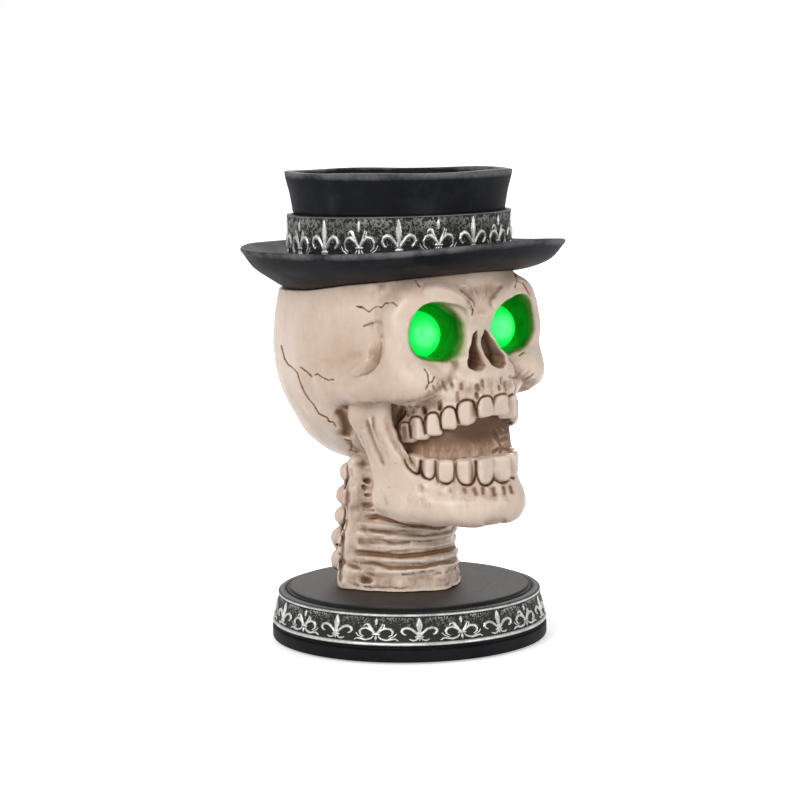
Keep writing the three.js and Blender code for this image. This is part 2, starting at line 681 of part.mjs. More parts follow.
function jawBodyRings(grow) {
  return Array.from({ length: jawRows + 1 }, (_, k) => {
    const share = k / jawRows;
    const [side, front] = jawTable(share);
    return ovalRing(aroundJaw, {
      halfWidth: jaw.halfWidth * side + grow,
      front: jaw.front * front + grow,
      back: grow - jaw.rear,
      forward: jaw.middle,
      height: jaw.bottom - grow + share * (jaw.bodyTop - jaw.bottom + 2 * grow),
      square: 2.5,
    });
  });
}

function ramusForm(side, grow) {
  const rings = Array.from({ length: ramusRows + 1 }, (_, k) => {
    const share = k / ramusRows;
    const [rear, front, out] = ramusTable(share);
    const half = (front - rear) * jaw.ramusLength / 2 + grow;
    const middle = jaw.ramusRear + (front + rear) * jaw.ramusLength / 2;
    const ring = ovalRing(aroundRamus, {
      halfWidth: jaw.ramusThickness / 2 + grow,
      front: middle + half,
      back: half - middle,
      forward: middle,
      height: jaw.ramusBottom - grow + share * (jaw.ramusTop - jaw.ramusBottom + 2 * grow),
      square: 2.6,
    });
    const offset = THREE.MathUtils.lerp(jaw.ramusLowSide, jaw.ramusHighSide, out);
    return ring.map((point) => point.setX(side * (point.x + offset)));
  });
  return solid(loft(rings));
}

function jawForm(grow) {
  return joined([solid(loft(jawBodyRings(grow))), ramusForm(1, grow), ramusForm(-1, grow)]);
}

// The mass that fills the mouth behind the teeth: shares of its height, and of its reach there
const mouthShares = [[0, 1], [0.28, 1.01], [0.42, 0.97], [0.56, 0.89], [0.78, 0.88], [1, 1]];

function mouthForm(grow) {
  const reach = lowerArch.radius - tooth.lowerThickness - clearance;
  const low = jaw.floor + clearance - grow;
  return solid(loft(mouthShares.map(([share, out]) => ovalRing(aroundJaw, {
    halfWidth: reach * out + grow,
    front: lowerArch.forward + reach * out + grow,
    back: grow - mouth.rear,
    forward: lowerArch.forward,
    height: THREE.MathUtils.lerp(low, mouth.roof, share),
    square: 2.1,
  }))));
}

function jawPiece() {
  return cutBy(joined([jawForm(0), ...teeth(lowerArch, tooth.lowerThickness, -1)]), [
    mouthForm(clearance), neckRoom(),
  ]);
}

// Skull: forms that run together, skinned by rings, then carved, with the upper teeth in the gum

function ellipsoidDistance(form, x, forward, height) {
  const half = new THREE.Vector3(form.halfWidth, form.halfDepth, form.halfHeight);
  const scaled = new THREE.Vector3(x, forward - form.forward, height - form.height).divide(half);
  const reach = scaled.length();
  return reach * (reach - 1) / Math.max(scaled.divide(half).length(), Number.EPSILON);
}

// A block that swells; the higher its squareness, the flatter its sides
function blockDistance(form, x, forward, height) {
  const shares = [
    x / form.halfWidth, (forward - form.forward) / form.halfDepth, (height - form.height) / form.halfHeight,
  ];
  const reach = shares.reduce((sum, share) => sum + Math.abs(share) ** form.square, 0) ** (1 / form.square);
  return (reach - 1) * Math.min(form.halfWidth, form.halfDepth, form.halfHeight);
}

function smoothLess(a, b, softness) {
  const share = Math.max(softness - Math.abs(a - b), 0) / softness;
  return Math.min(a, b) - share * share * softness / 4;
}

const underSeat = (form) => ({ ...form, height: hat.seatHeight - form.drop });

// Distance to the broad skull: negative inside; the upper jaw ends at the sloping line of the gum
function skullDistance(x, forward, height) {
  const slope = (gum.frontBottom - gum.rearBottom) / (gum.front - gum.rear);
  const belowGum = gum.rearBottom + (forward - gum.rear) * slope - height;
  const upperJaw = Math.max(blockDistance(maxilla, x, forward, height), belowGum);
  return [cranium, underSeat(crown), underSeat(forehead), midface].reduce(
    (sum, form) => smoothLess(sum, ellipsoidDistance(form, x, forward, height), skull.blend), upperJaw,
  );
}

// How far out the skull's surface lies from its middle line, at a turn from the front
function skullReach(turn, height) {
  const [across, along] = [Math.sin(turn), Math.cos(turn)];
  let outside = cranium.halfDepth + maxilla.halfDepth;
  let inside = 0;
  for (let i = 0; i < halvings; i += 1) {
    const middle = (inside + outside) / 2;
    if (skullDistance(middle * across, skull.middle + middle * along, height) > 0) outside = middle;
    else inside = middle;
  }
  return inside + faceSwell(turn, height);
}

function faceSwell(turn, height) {
  return Object.values(faceSwells).reduce((sum, swell) => {
    const aside = THREE.MathUtils.radToDeg(Math.abs(turn)) - swell.degrees;
    return sum + swell.out * nearness(aside, swell.spread) * nearness(height - swell.height, swell.rise);
  }, 0);
}

// Rings of the skull, with more of their points at the face than at the back
function skullForm() {
  const turns = Array.from({ length: aroundHead }, (_, i) => {
    const even = (i / aroundHead) * 2 * Math.PI - Math.PI;
    return even - skull.frontShare * Math.sin(even);
  });
  return solid(loft(Array.from({ length: skullRows + 1 }, (_, k) => {
    const height = THREE.MathUtils.lerp(skull.bottom, skullTop, k / skullRows);
    return turns.map((turn) => {
      const reach = skullReach(turn, height);
      return ahead(reach * Math.sin(turn), skull.middle + reach * Math.cos(turn), height);
    });
  })));
}

const skullTop = hat.seatHeight + skull.underHat;
const domeHeight = hat.seatHeight - dome.drop;
const socketSquareShare = 0.85;

function socketCuts() {
  return [-1, 1].map((side) => {
    const geometry = new THREE.SphereGeometry(1, aroundDome, 2 * domeSteps).rotateX(Math.PI / 2);
    const place = geometry.getAttribute('position');
    for (let k = 0; k < place.count; k += 1) {
      const [x, y, z] = [place.getX(k), place.getY(k), place.getZ(k)];
      place.setXYZ(k, power(x, socketSquareShare), y, power(z, socketSquareShare));
    }
    geometry.scale(socket.halfWidth, socket.halfDepth, socket.halfHeight);
    const middle = ahead(side * (dome.side + socket.outset), socket.forward, domeHeight + socket.rise);
    return solid(geometry.translate(middle.x, middle.y, middle.z));
  });
}

// Outline of a nostril as shares of its width and height: the top, then three curves back to it
const nostrilShares = [
  [-0.46, 1], [-0.15, 0.8], [0.42, 0.45], [0.5, 0.2], [0.52, 0.02], [0.2, 0], [-0.1, 0],
  [-0.42, 0.08], [-0.5, 0.4], [-0.46, 1],
];

function nostrilCuts() {
  return [-1, 1].map((side) => {
    const at = ([x, z]) => new THREE.Vector2(side * x * nostril.width, z * nostril.height);
    const shape = new THREE.Shape();
    shape.moveTo(...at(nostrilShares[0]));
    for (let k = 1; k < nostrilShares.length; k += 3) {
      const [first, second, end] = nostrilShares.slice(k, k + 3).map(at);
      shape.bezierCurveTo(first.x, first.y, second.x, second.y, end.x, end.y);
    }
    const geometry = new THREE.ExtrudeGeometry(shape, {
      depth: nostril.depth, bevelEnabled: false, curveSegments: 3,
    });
    geometry.rotateX(Math.PI / 2).translate(side * nostril.side, -nostril.forward, nostril.bottom);
    return solid(geometry);
  });
}

// Bores for an eye: one turned cutter for the ball, its seat's flange and sleeve, and the way of the wires

function eyeCuts() {
  const flangeFront = domeRimShare * dome.radius;
  const flangeBack = flangeFront - seat.flangeThickness - 2 * clearance;
  const sleeveEnd = flangeBack - seat.sleeveLength;
  const cutter = turned([
    [0, sleeveEnd], [seat.sleeveRadius + clearance, sleeveEnd], [seat.sleeveRadius + clearance, flangeBack],
    [seat.flangeRadius + clearance, flangeBack],
    ...domeArc(dome.radius + clearance).reverse(),
  ], aroundDome).rotateX(Math.PI / 2);
  return [-1, 1].flatMap((side) => {
    const place = ahead(side * dome.side, dome.forward, domeHeight);
    return [
      solid(cutter.clone().translate(place.x, place.y, place.z)),
      solid(tube(leadCurve(side, leadPointsInHead), lead.channelRadius, leadPointsInHead + 1, wireSides + 1)),
    ];
  });
}

function skullPiece() {
  const carved = cutBy(skullForm(), [...socketCuts(), ...nostrilCuts()]);
  const face = joined([carved, ...teeth(upperArch, tooth.upperThickness, 1)]).subtract(jawForm(clearance));
  return cutBy(face.add(mouthForm(0)), [
    ...eyeCuts(),
    hatSeatCut(),
    neckRoom(),
    solid(bar(neck.channelRadius, neck.top - overrun, lead.joinHeight, 0, neck.axis)),
  ]);
}

// Hat: a curled brim, a waisted crown and the open cup inside it

const seatRingShares = [0.5, 1];
const undersideShares = [[0.4, 0.24], [0.75, 0.56]]; // out along the brim, and how far up its curl

function seatPoint(share, angle, drop, grow) {
  const middle = (hat.seatFront - hat.seatBack) / 2;
  const x = share * (hat.seatHalfWidth + grow) * Math.sin(angle);
  const f = share * ((hat.seatFront + hat.seatBack) / 2 + grow) * Math.cos(angle);
  const [across, along] = [share * Math.sin(angle), share * Math.cos(angle)];
  const height = hat.seatHeight + hat.seatTilt * along + hat.seatSaddle * (along ** 2 - across ** 2);
  return ahead(x, middle + f, height - drop);
}

function hatSeatCut() {
  const around = turnsRound(aroundHat);
  const low = seatRingShares.map((share) => (
    around.map((angle) => seatPoint(share, angle, clearance, overrun))
  ));
  const top = around.map((angle) => seatPoint(1, angle, clearance, overrun).setZ(skullTop + overrun));
  return solid(loft([...low, top]));
}

const crownTop = hat.seatHeight + hat.crownLift;
const cupFloor = hat.seatHeight + hat.cupLift;
const bandTop = hat.seatHeight + hatBand.topLift;

function brimHeightAt(angle) {
  return hat.seatHeight + hat.brimLift + hat.brimTilt * Math.cos(angle)
    + hat.brimSaddle * Math.cos(2 * angle) + hat.brimLean * Math.sin(angle);
}

const rootHeightAt = (angle) => hat.seatHeight + hat.rootLift + hat.rootTilt * Math.cos(angle);
const brimPoint = (radius, angle, height) => ahead(
  radius * Math.sin(angle), hat.brimForward + radius * Math.cos(angle), height,
);
const crownPoint = (radius, angle, height) => ahead(
  radius * Math.sin(angle), hat.crownForward + radius * Math.cos(angle), height,
);

function hatPiece() {
  const around = turnsRound(aroundHat);
  const ring = (place) => around.map(place);
  const seatRings = seatRingShares.map((share) => ring((angle) => seatPoint(share, angle, 0, 0)));
  const underside = undersideShares.map(([out, up]) => ring((angle) => {
    const low = seatPoint(1, angle, 0, 0);
    const rim = brimPoint(hat.brimRadius, angle, brimHeightAt(angle) - hat.brimEdge);
    return new THREE.Vector3(
      THREE.MathUtils.lerp(low.x, rim.x, out), THREE.MathUtils.lerp(low.y, rim.y, out),
      THREE.MathUtils.lerp(low.z, rim.z, up),
    );
  }));
  const edge = [
    ring((angle) => brimPoint(hat.brimRadius - hat.brimEdge / 4, angle, brimHeightAt(angle) - hat.brimEdge)),
    ring((angle) => brimPoint(hat.brimRadius, angle, brimHeightAt(angle) - hat.brimEdge / 3)),
    ring((angle) => brimPoint(hat.brimRadius - hat.brimEdge / 3, angle, brimHeightAt(angle))),
  ];
  const dish = ring((angle) => brimPoint(
    (hat.brimRadius + hat.bandSeatRadius) / 2, angle, (brimHeightAt(angle) + 2 * rootHeightAt(angle)) / 3,
  ));
  const tilt = (angle) => hat.crownTilt * Math.cos(angle);
  const crown = [
    (angle) => crownPoint(hat.bandSeatRadius, angle, rootHeightAt(angle)),
    (angle) => crownPoint(hat.bandSeatRadius, angle, bandTop + clearance + tilt(angle)),
    (angle) => crownPoint(hat.waistRadius, angle, bandTop + clearance + hatBand.bead + tilt(angle)),
    (angle) => crownPoint((hat.waistRadius + hat.rimRadius - hat.rimRound) / 2, angle,
      (bandTop + crownTop) / 2 + tilt(angle)),
    (angle) => crownPoint(hat.rimRadius, angle, crownTop - hat.rimRound + tilt(angle)),
    (angle) => crownPoint(hat.rimRadius - hat.rimRound, angle, crownTop + tilt(angle)),
    (angle) => crownPoint(hat.rimRadius - hat.wall + hat.rimRound, angle, crownTop + tilt(angle)),
    (angle) => crownPoint(hat.rimRadius - hat.wall, angle, crownTop - hat.rimRound + tilt(angle)),
    (angle) => crownPoint(hat.bandSeatRadius - hat.wall + hat.rimRound, angle, cupFloor + hat.rimRound),
    (angle) => crownPoint(hat.bandSeatRadius - hat.wall, angle, cupFloor),
  ].map(ring);
  return solid(loft([...seatRings, ...underside, ...edge, dish, ...crown]));
}

function hatBandPiece() {
  const around = turnsRound(aroundHat);
  const inner = hat.bandSeatRadius + clearance;
  const outer = inner + hatBand.thickness;
  const lowAt = (angle) => rootHeightAt(angle) + hatBand.bottomGap
    + (outer - hat.bandSeatRadius) * brimRise(angle);
  const highAt = (angle) => bandTop + hat.crownTilt * Math.cos(angle);
  const rings = [
    (angle) => crownPoint(inner, angle, lowAt(angle)),
    (angle) => crownPoint(outer, angle, lowAt(angle)),
    (angle) => crownPoint(outer, angle, highAt(angle) - 3 * hatBand.bead),
    (angle) => crownPoint(outer + hatBand.bead, angle, highAt(angle) - 2 * hatBand.bead),
    (angle) => crownPoint(outer, angle, highAt(angle)),
    (angle) => crownPoint(inner, angle, highAt(angle)),
  ].map((place) => around.map(place));
  const halfWidth = (Math.PI * outer) / hatMotifs * lilyFillShares.width;
  const lilies = turnsRound(hatMotifs).map((angle, i) => {
    const [low, high] = [lowAt(angle) + hatBand.relief, highAt(angle) - 3 * hatBand.bead];
    const lily = raisedLily(lilyFor(i), halfWidth, high - low, hatBand.relief, outer, low, 0, angle);
    return lily.translate([0, -hat.crownForward, 0]);
  });
  return joined([solid(loft(rings, true)), ...lilies]);
}

// How steeply the dish of the brim climbs beside the band
function brimRise(angle) {
  const run = (hat.brimRadius - hat.bandSeatRadius) / 2;
  return (brimHeightAt(angle) - rootHeightAt(angle)) / 3 / run;
}

// Lit eyes: a frosted ball, the seat behind it, the diode in the seat and its lead

// The ball's outline from its front point to its rim, as radius and place along its axis
function domeArc(radius) {
  return Array.from({ length: domeSteps + 1 }, (_, k) => {
    const angle = (k / domeSteps) * domeRim;
    return [radius * Math.sin(angle), radius * Math.cos(angle)];
  });
}

function eyePieces(side, name) {
  const group = new THREE.Group();
  group.position.copy(ahead(side * dome.side, dome.forward, domeHeight));
  group.rotation.x = Math.PI / 2;
  const shell = turned([...domeArc(dome.radius - dome.wall), ...domeArc(dome.radius).reverse()], aroundDome);
  group.add(piece(`eye_dome_${name}`, shell, finish.glow));

  const front = domeRimShare * dome.radius - clearance;
  const back = front - seat.flangeThickness;
  const end = back - seat.sleeveLength;
  const bore = led.flangeRadius + clearance;
  group.add(piece(`eye_seat_${name}`, turned([
    [bore, end], [seat.sleeveRadius, end], [seat.sleeveRadius, back], [seat.flangeRadius, back],
    [seat.flangeRadius, front], [bore, front], [bore, end],
  ], aroundDome), finish.plastic));

  const ledBack = back - seat.lip;
  group.add(piece(`led_${name}`, turned([
    [0, ledBack], [led.flangeRadius, ledBack], [led.flangeRadius, ledBack + led.flangeThickness],
    [led.radius, ledBack + led.flangeThickness], [led.radius, ledBack + led.length - led.radius],
    [led.radius * Math.SQRT1_2, ledBack + led.length - led.radius * (1 - Math.SQRT1_2)],
    [0, ledBack + led.length],
  ], aroundDiode), finish.glow));
  return group;
}

// The way of an eye's lead, from the diode back and down the middle to the switch
const leadBendShares = [0.86, 0.4];
const leadPointsInHead = 5;
function leadCurve(side, count) {
  const start = dome.forward + domeRimShare * dome.radius - seat.flangeThickness - seat.lip - 2 * clearance;
  const [outer, inner] = leadBendShares.map((share) => share * side * dome.side);
  const points = [
    ahead(side * dome.side, start, domeHeight),
    ahead(side * dome.side, start - seat.sleeveLength, domeHeight),
    ahead(outer, start - lead.bendForward, domeHeight - 2 * lead.channelRadius),
    ahead(inner, 0, (domeHeight + lead.joinHeight) / 2),
    ahead(side * lead.side, -neck.axis, lead.joinHeight - lead.bendForward / 2),
    ahead(side * lead.side, -neck.axis, neck.top),
    ahead(side * lead.side, -neck.axis, (neck.top + base.top) / 2),
    ahead(side * lead.side, -neck.axis, base.top),
    ahead(side * lead.side, -neck.axis, slideSwitch.bottom + slideSwitch.height + clearance),
  ];
  return new THREE.CatmullRomCurve3(points.slice(0, count), false, 'centripetal');
}

const leadPiece = (side, name) => piece(
  `led_lead_${name}`, tube(leadCurve(side), lead.radius, leadSteps, wireSides), finish.wire,
);

// Assembly

const baseGroup = new THREE.Group();
baseGroup.add(
  piece('base_plinth', cutBy(plinthForm(), [...batteryPocket(), ...padRecesses()]), finish.plinth),
  piece('base_relief_band', friezeRing(), finish.silver),
  piece('battery_tray', trayPiece(), finish.plastic),
  piece('battery_door', doorPiece(), finish.plastic),
  piece('hinge_pin', hingePinForm(), finish.steel),
  piece('door_screw', screwPiece(), finish.steel),
  piece('battery_lead', batteryLeadForm(), finish.wire),
  ...footPads(),
  ...batteryPieces(),
  ...switchPieces(),
);

const headGroup = new THREE.Group();
headGroup.add(
  piece('neck_casting', neckPiece(), finish.bone),
  piece('jaw_casting', jawPiece(), finish.bone),
  piece('skull_casting', skullPiece(), finish.bone),
  piece('hat_casting', hatPiece(), finish.hat),
  piece('hat_relief_band', hatBandPiece(), finish.silver),
  eyePieces(-1, 'right'),
  eyePieces(1, 'left'),
  leadPiece(-1, 'right'),
  leadPiece(1, 'left'),
);

const candleHolder = new THREE.Group();
candleHolder.add(baseGroup, headGroup);

export default candleHolder;
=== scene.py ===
"""Looks of the skull candle holder: bone, relief bands, hat, plinth, lit eyes, floor, lights and camera."""
import itertools
import math

import bmesh
import bpy
import numpy as np
import openvdb
from mathutils import Matrix, Vector


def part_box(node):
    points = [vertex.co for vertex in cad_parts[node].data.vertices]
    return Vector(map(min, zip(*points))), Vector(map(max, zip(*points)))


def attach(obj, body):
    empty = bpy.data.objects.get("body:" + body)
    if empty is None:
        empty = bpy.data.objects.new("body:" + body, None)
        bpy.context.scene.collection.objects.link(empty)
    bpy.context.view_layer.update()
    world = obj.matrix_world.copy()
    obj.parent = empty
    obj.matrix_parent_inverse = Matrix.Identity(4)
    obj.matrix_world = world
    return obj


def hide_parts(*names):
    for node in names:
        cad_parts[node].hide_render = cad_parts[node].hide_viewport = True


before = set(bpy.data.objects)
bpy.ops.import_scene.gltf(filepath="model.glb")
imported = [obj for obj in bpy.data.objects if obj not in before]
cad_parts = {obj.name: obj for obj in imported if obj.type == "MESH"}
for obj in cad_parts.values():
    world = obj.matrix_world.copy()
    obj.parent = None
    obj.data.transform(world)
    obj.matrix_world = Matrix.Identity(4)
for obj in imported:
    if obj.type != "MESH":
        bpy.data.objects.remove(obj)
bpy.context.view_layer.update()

MM = 0.001
BODY = "holder"
GRAIN = 0.6  # step of the sculpting grids, mm

# Camera, worked out from the ellipses of the photograph, in mm and pixels of the 800 x 800 frame
CAMERA_TURN = math.radians(40)
CAMERA_DISTANCE = 1397.5
CAMERA_HEIGHT = 313.7
CAMERA_PITCH = math.radians(7.518)
CAMERA_ROLL = math.radians(0.764)
FOCAL_PIXELS = 2597.5
CENTRE_SHIFT_PIXELS = 6.72
FRAME_PIXELS = 800
SENSOR = 36.0


def seen(x, f, z):
    """Where points (side, forward, height) in mm show on the photograph, in its pixels."""
    across = x * math.cos(CAMERA_TURN) + f * math.sin(CAMERA_TURN)
    deep = x * math.sin(CAMERA_TURN) - f * math.cos(CAMERA_TURN) + CAMERA_DISTANCE
    level = z - CAMERA_HEIGHT
    away = deep * math.cos(CAMERA_PITCH) - level * math.sin(CAMERA_PITCH)
    right = FOCAL_PIXELS * across / away
    down = -FOCAL_PIXELS * (deep * math.sin(CAMERA_PITCH) + level * math.cos(CAMERA_PITCH)) / away
    cosine, sine = math.cos(CAMERA_ROLL), math.sin(CAMERA_ROLL)
    middle = FRAME_PIXELS / 2
    return middle + CENTRE_SHIFT_PIXELS + cosine * right + sine * down, middle - sine * right + cosine * down


def enlarged(left, top, scale):
    """Reads places on an enlarged part of the photograph as pixels of the whole."""
    return lambda places: [(left + x / scale, top + y / scale) for x, y in places]


FACE = enlarged(265, 265, 5.407)
LOWER = enlarged(320, 400, 7.467)
SIDE = enlarged(270, 270, 10.453)


# Sculpting: distances in mm over (side, forward, height), negative inside the form


def box_round(centre, half):
    """Lowest and highest corner of a box round a centre."""
    return [c - h for c, h in zip(centre, half)], [c + h for c, h in zip(centre, half)]


def ellipsoid(centre, half):
    def distance(x, f, z):
        a, b, c = (x - centre[0]) / half[0], (f - centre[1]) / half[1], (z - centre[2]) / half[2]
        reach = np.sqrt(a * a + b * b + c * c)
        slope = np.sqrt((a / half[0]) ** 2 + (b / half[1]) ** 2 + (c / half[2]) ** 2)
        return reach * (reach - 1) / np.maximum(slope, 1e-6)

    return *box_round(centre, half), distance


def rounded(centre, half, power, turn=0.0, tilt=0.0):
    """A block that swells: power 2 is an ellipsoid, a higher power is squarer. Turned about the upright, then
    tilted so that its outer end is higher."""
    cosine, sine = math.cos(turn), math.sin(turn)
    level, rise = math.cos(tilt), math.sin(tilt)
    wide = abs(cosine) * half[0] + abs(sine) * half[1]
    deep = abs(sine) * half[0] + abs(cosine) * half[1]
    reach_box = [wide + half[2] * abs(rise), deep, half[2] + wide * abs(rise)]

    def distance(x, f, z):
        x, f, z = x - centre[0], f - centre[1], z - centre[2]
        x, z = x * level + z * rise, z * level - x * rise
        a = np.abs(x * cosine - f * sine) / half[0]
        b = np.abs(x * sine + f * cosine) / half[1]
        c = np.abs(z) / half[2]
        reach = (a**power + b**power + c**power) ** (1 / power)
        return (reach - 1) * min(half)

    return *box_round(centre, reach_box), distance


def limb(start, end, first, last):
    """A round limb between two points, tapering from one radius to the other."""
    start, end = np.array(start, float), np.array(end, float)
    along = end - start
    squared = float(along @ along) or 1.0

    def distance(x, f, z):
        share = sum((p - s) * w for p, s, w in zip((x, f, z), start, along)) / squared
        share = np.clip(share, 0, 1)
        a, b, c = (p - s - share * w for p, s, w in zip((x, f, z), start, along))
        return np.sqrt(a * a + b * b + c * c) - (first + share * (last - first))

    wide = max(first, last)
    return list(np.minimum(start, end) - wide), list(np.maximum(start, end) + wide), distance


def column(rows, power, lean=0.0):
    """A form given level by level: height, side, middle forward, half width, reach in front, reach behind.

    The lean brings its front nearer the middle of the object than its rear.
    """
    rows = np.array(rows, float)

    def distance(x, f, z):
        side, middle, wide, front, back = (np.interp(z, rows[:, 0], rows[:, k]) for k in range(1, 6))
        deep = np.where(f > middle, front, back)
        across = np.abs((x - side + lean * (f - middle)) / wide)
        reach = (across**power + np.abs((f - middle) / deep) ** power) ** (1 / power)
        flat = (reach - 1) * np.minimum(wide, deep)
        return np.maximum(flat, np.maximum(rows[0, 0] - z, z - rows[-1, 0]))

    slack = abs(lean) * rows[:, 4:6].max()
    low = [(rows[:, 1] - rows[:, 3]).min() - slack, (rows[:, 2] - rows[:, 5]).min(), rows[0, 0]]
    high = [(rows[:, 1] + rows[:, 3]).max() + slack, (rows[:, 2] + rows[:, 4]).max(), rows[-1, 0]]
    return low, high, distance


def to_segment(across, up, start, end):
    """Squared distance of flat places from a segment, and their share of the way along it."""
    (sa, su), (ea, eu) = start, end
    squared = (ea - sa) ** 2 + (eu - su) ** 2 or 1e-9
    share = np.clip(((across - sa) * (ea - sa) + (up - su) * (eu - su)) / squared, 0, 1)
    return (across - sa - share * (ea - sa)) ** 2 + (up - su - share * (eu - su)) ** 2, share


def pillar(outline, front, rear):
    """A form with an outline over (side, height), running from one forward place to another."""
    outline = np.array(outline, float)

    def distance(x, f, z):
        nearest, inside = None, None
        for (ax, az), (bx, bz) in zip(outline, np.roll(outline, -1, axis=0)):
            gap, _ = to_segment(x, z, (ax, az), (bx, bz))
            crossed = ((az > z) != (bz > z)) & (x < (bx - ax) * (z - az) / ((bz - az) or 1e-9) + ax)
            nearest = gap if nearest is None else np.minimum(nearest, gap)
            inside = crossed if inside is None else inside ^ crossed
        flat = np.sqrt(nearest) * np.where(inside, -1, 1)
        return np.maximum(flat, np.maximum(rear - f, f - front))

    low = [outline[:, 0].min(), rear, outline[:, 1].min()]
    high = [outline[:, 0].max(), front, outline[:, 1].max()]
    return low, high, distance


def smooth_least(a, b, soft):
    share = np.maximum(soft - np.abs(a - b), 0) / soft
    return np.minimum(a, b) - share * share * soft / 4


class Clay:
    """A block of space with a distance to the sculpted form, and marks: dark wash with painted shade, and the
    painted green light of the lit domes on the sockets.
    """

    def __init__(self, low, high):
        self.step = GRAIN
        self.low = np.array(low, float)
        counts = np.ceil((np.array(high, float) - self.low) / self.step).astype(int) + 1
        self.axes = [(self.low[i] + self.step * np.arange(counts[i])).astype(np.float32) for i in range(3)]
        far_outside = 40.0
        self.form = np.full(counts, far_outside, np.float32)
        self.marks = {key: np.zeros(counts, np.float32) for key in ("wash_and_shade", "socket")}

    def window(self, low, high, margin):
        spans = []
        for i in range(3):
            first = int(np.floor((low[i] - margin - self.low[i]) / self.step))
            last = int(np.ceil((high[i] + margin - self.low[i]) / self.step)) + 1
            spans.append(slice(max(first, 0), max(min(last, len(self.axes[i])), 0)))
        spans = tuple(spans)
        x, f, z = (self.axes[i][spans[i]] for i in range(3))
        return spans, x[:, None, None], f[None, :, None], z[None, None, :]

    def join(self, form, soft):
        low, high, distance = form
        spans, x, f, z = self.window(low, high, 2 * soft + 2)
        if self.form[spans].size:
            self.form[spans] = smooth_least(self.form[spans], distance(x, f, z), soft)

    def chain(self, points, radii, soft):
        """Joins a run of limbs through the points."""
        for k in range(len(points) - 1):
            self.join(limb(points[k], points[k + 1], radii[k], radii[k + 1]), soft)

    def cut(self, form, soft, wash_and_shade=0.0, reach=2.0, mark="wash_and_shade"):
        low, high, distance = form
        spans, x, f, z = self.window(low, high, 2 * soft + 2 * reach)
        if self.form[spans].size:
            away = distance(x, f, z)
            self.form[spans] = -smooth_least(-self.form[spans], away, soft)
            # the mark it leaves is brown wash and painted shade, and in the sockets their painted green light
            if wash_and_shade:
                marked = self.marks[mark]
                marked[spans] = np.maximum(marked[spans], wash_and_shade * np.clip(1 - away / reach, 0, 1))

    def both_sides(self):
        """Mirrors a form sculpted from the middle outwards on the positive side."""
        keep = slice(1, None)
        self.form = np.concatenate([self.form[keep][::-1], self.form])
        self.marks = {key: np.concatenate([grid[keep][::-1], grid]) for key, grid in self.marks.items()}
        side = self.axes[0]
        self.axes[0] = np.concatenate([-side[keep][::-1], side])
        self.low[0] = self.axes[0][0]

    def take_skin(self):
        """Takes up the points near the surface, with how each faces and where it shows in the photograph."""
        # how deep the skin reaches, in mm, and how far past edge-on a face still takes a stroke
        depth, past_edge = 2.6, 0.15
        inside = (slice(1, -1),) * 3
        near = np.nonzero(np.abs(self.form[inside]) < depth)
        self.skin = tuple(index + 1 for index in near)
        self.places = [self.axes[i][self.skin[i]] for i in range(3)]
        slopes = []
        for i in range(3):
            ahead, behind = list(self.skin), list(self.skin)
            ahead[i], behind[i] = self.skin[i] + 1, self.skin[i] - 1
            slopes.append(self.form[tuple(ahead)] - self.form[tuple(behind)])
        length = np.sqrt(sum(slope**2 for slope in slopes)) + 1e-6
        to_camera = (-math.sin(CAMERA_TURN), math.cos(CAMERA_TURN), 0.15)
        x, f, z = self.places
        self.views = {}
        for view, side, way in (("near", x, 1), ("both", -np.abs(x), np.where(x > 0, -1, 1))):
            turned = (slopes[0] * way, slopes[1], slopes[2])
            facing = sum(slope * part for slope, part in zip(turned, to_camera)) / length
            self.views[view] = (*seen(side, f, z), np.clip((facing + past_edge) / (2 * past_edge), 0, 1))
        self.push = np.zeros(len(x), np.float32)
        self.ink_and_shade = np.zeros(len(x), np.float32)

    def stroke(self, points, width, depth, wash_and_shade=0.0, view="both", bleed=1.3, fade=0.15, where=None):
        """Presses a groove along points of the photograph, or raises a ridge where the depth is negative.

        The width is in pixels, the depth in mm. The view both draws it on the far side of the head too.
        """
        right, down, facing = self.views[view]
        widths_till_gone, least_strength = 2.6, 0.12
        margin = widths_till_gone * width * max(bleed, 1)
        spots = np.array(points)
        near = (
            (right > spots[:, 0].min() - margin) & (right < spots[:, 0].max() + margin)
            & (down > spots[:, 1].min() - margin) & (down < spots[:, 1].max() + margin) & (facing > 0)
        )
        if where is not None:
            near &= where(*self.places)
        index = np.nonzero(near)[0]
        if not len(index):
            return
        gap, along = distance_to_line(right[index], down[index], spots)
        strength = facing[index]
        if fade and len(spots) > 2:
            strength = strength * np.clip(np.minimum(along, 1 - along) / fade, least_strength, 1)
        press = depth * np.exp(-((gap / width) ** 2)) * strength
        old = self.push[index]
        self.push[index] = np.where(np.abs(press) > np.abs(old), press, old)
        # the stroke darkens the colour too: brown wash and painted shade
        if wash_and_shade:
            ink_and_shade = wash_and_shade * np.exp(-((gap / (width * bleed)) ** 2)) * strength
            self.ink_and_shade[index] = np.maximum(self.ink_and_shade[index], ink_and_shade)

    def strokes(self, read, rows, **how):
        """Draws rows of line, width, depth and, where there is any, wash and painted shade, on an enlarged
        part.
        """
        for line, *amounts in rows:
            self.stroke(read(line), *amounts, **how)

    def roughen(self, sizes, amounts):
        """Makes the surface as uneven as modelling by hand leaves it, with swells of some sizes in mm."""
        for size, amount in zip(sizes, amounts):
            self.push += amount * unevenness(self.places, size)

    def mark_skin(self, mark):
        """Mirrors the form, lets mark draw on its skin and presses what was drawn into it."""
        self.both_sides()
        self.take_skin()
        mark(self)
        self.form[self.skin] += self.push
        wash_and_shade = self.marks["wash_and_shade"]
        wash_and_shade[self.skin] = np.maximum(wash_and_shade[self.skin], self.ink_and_shade)


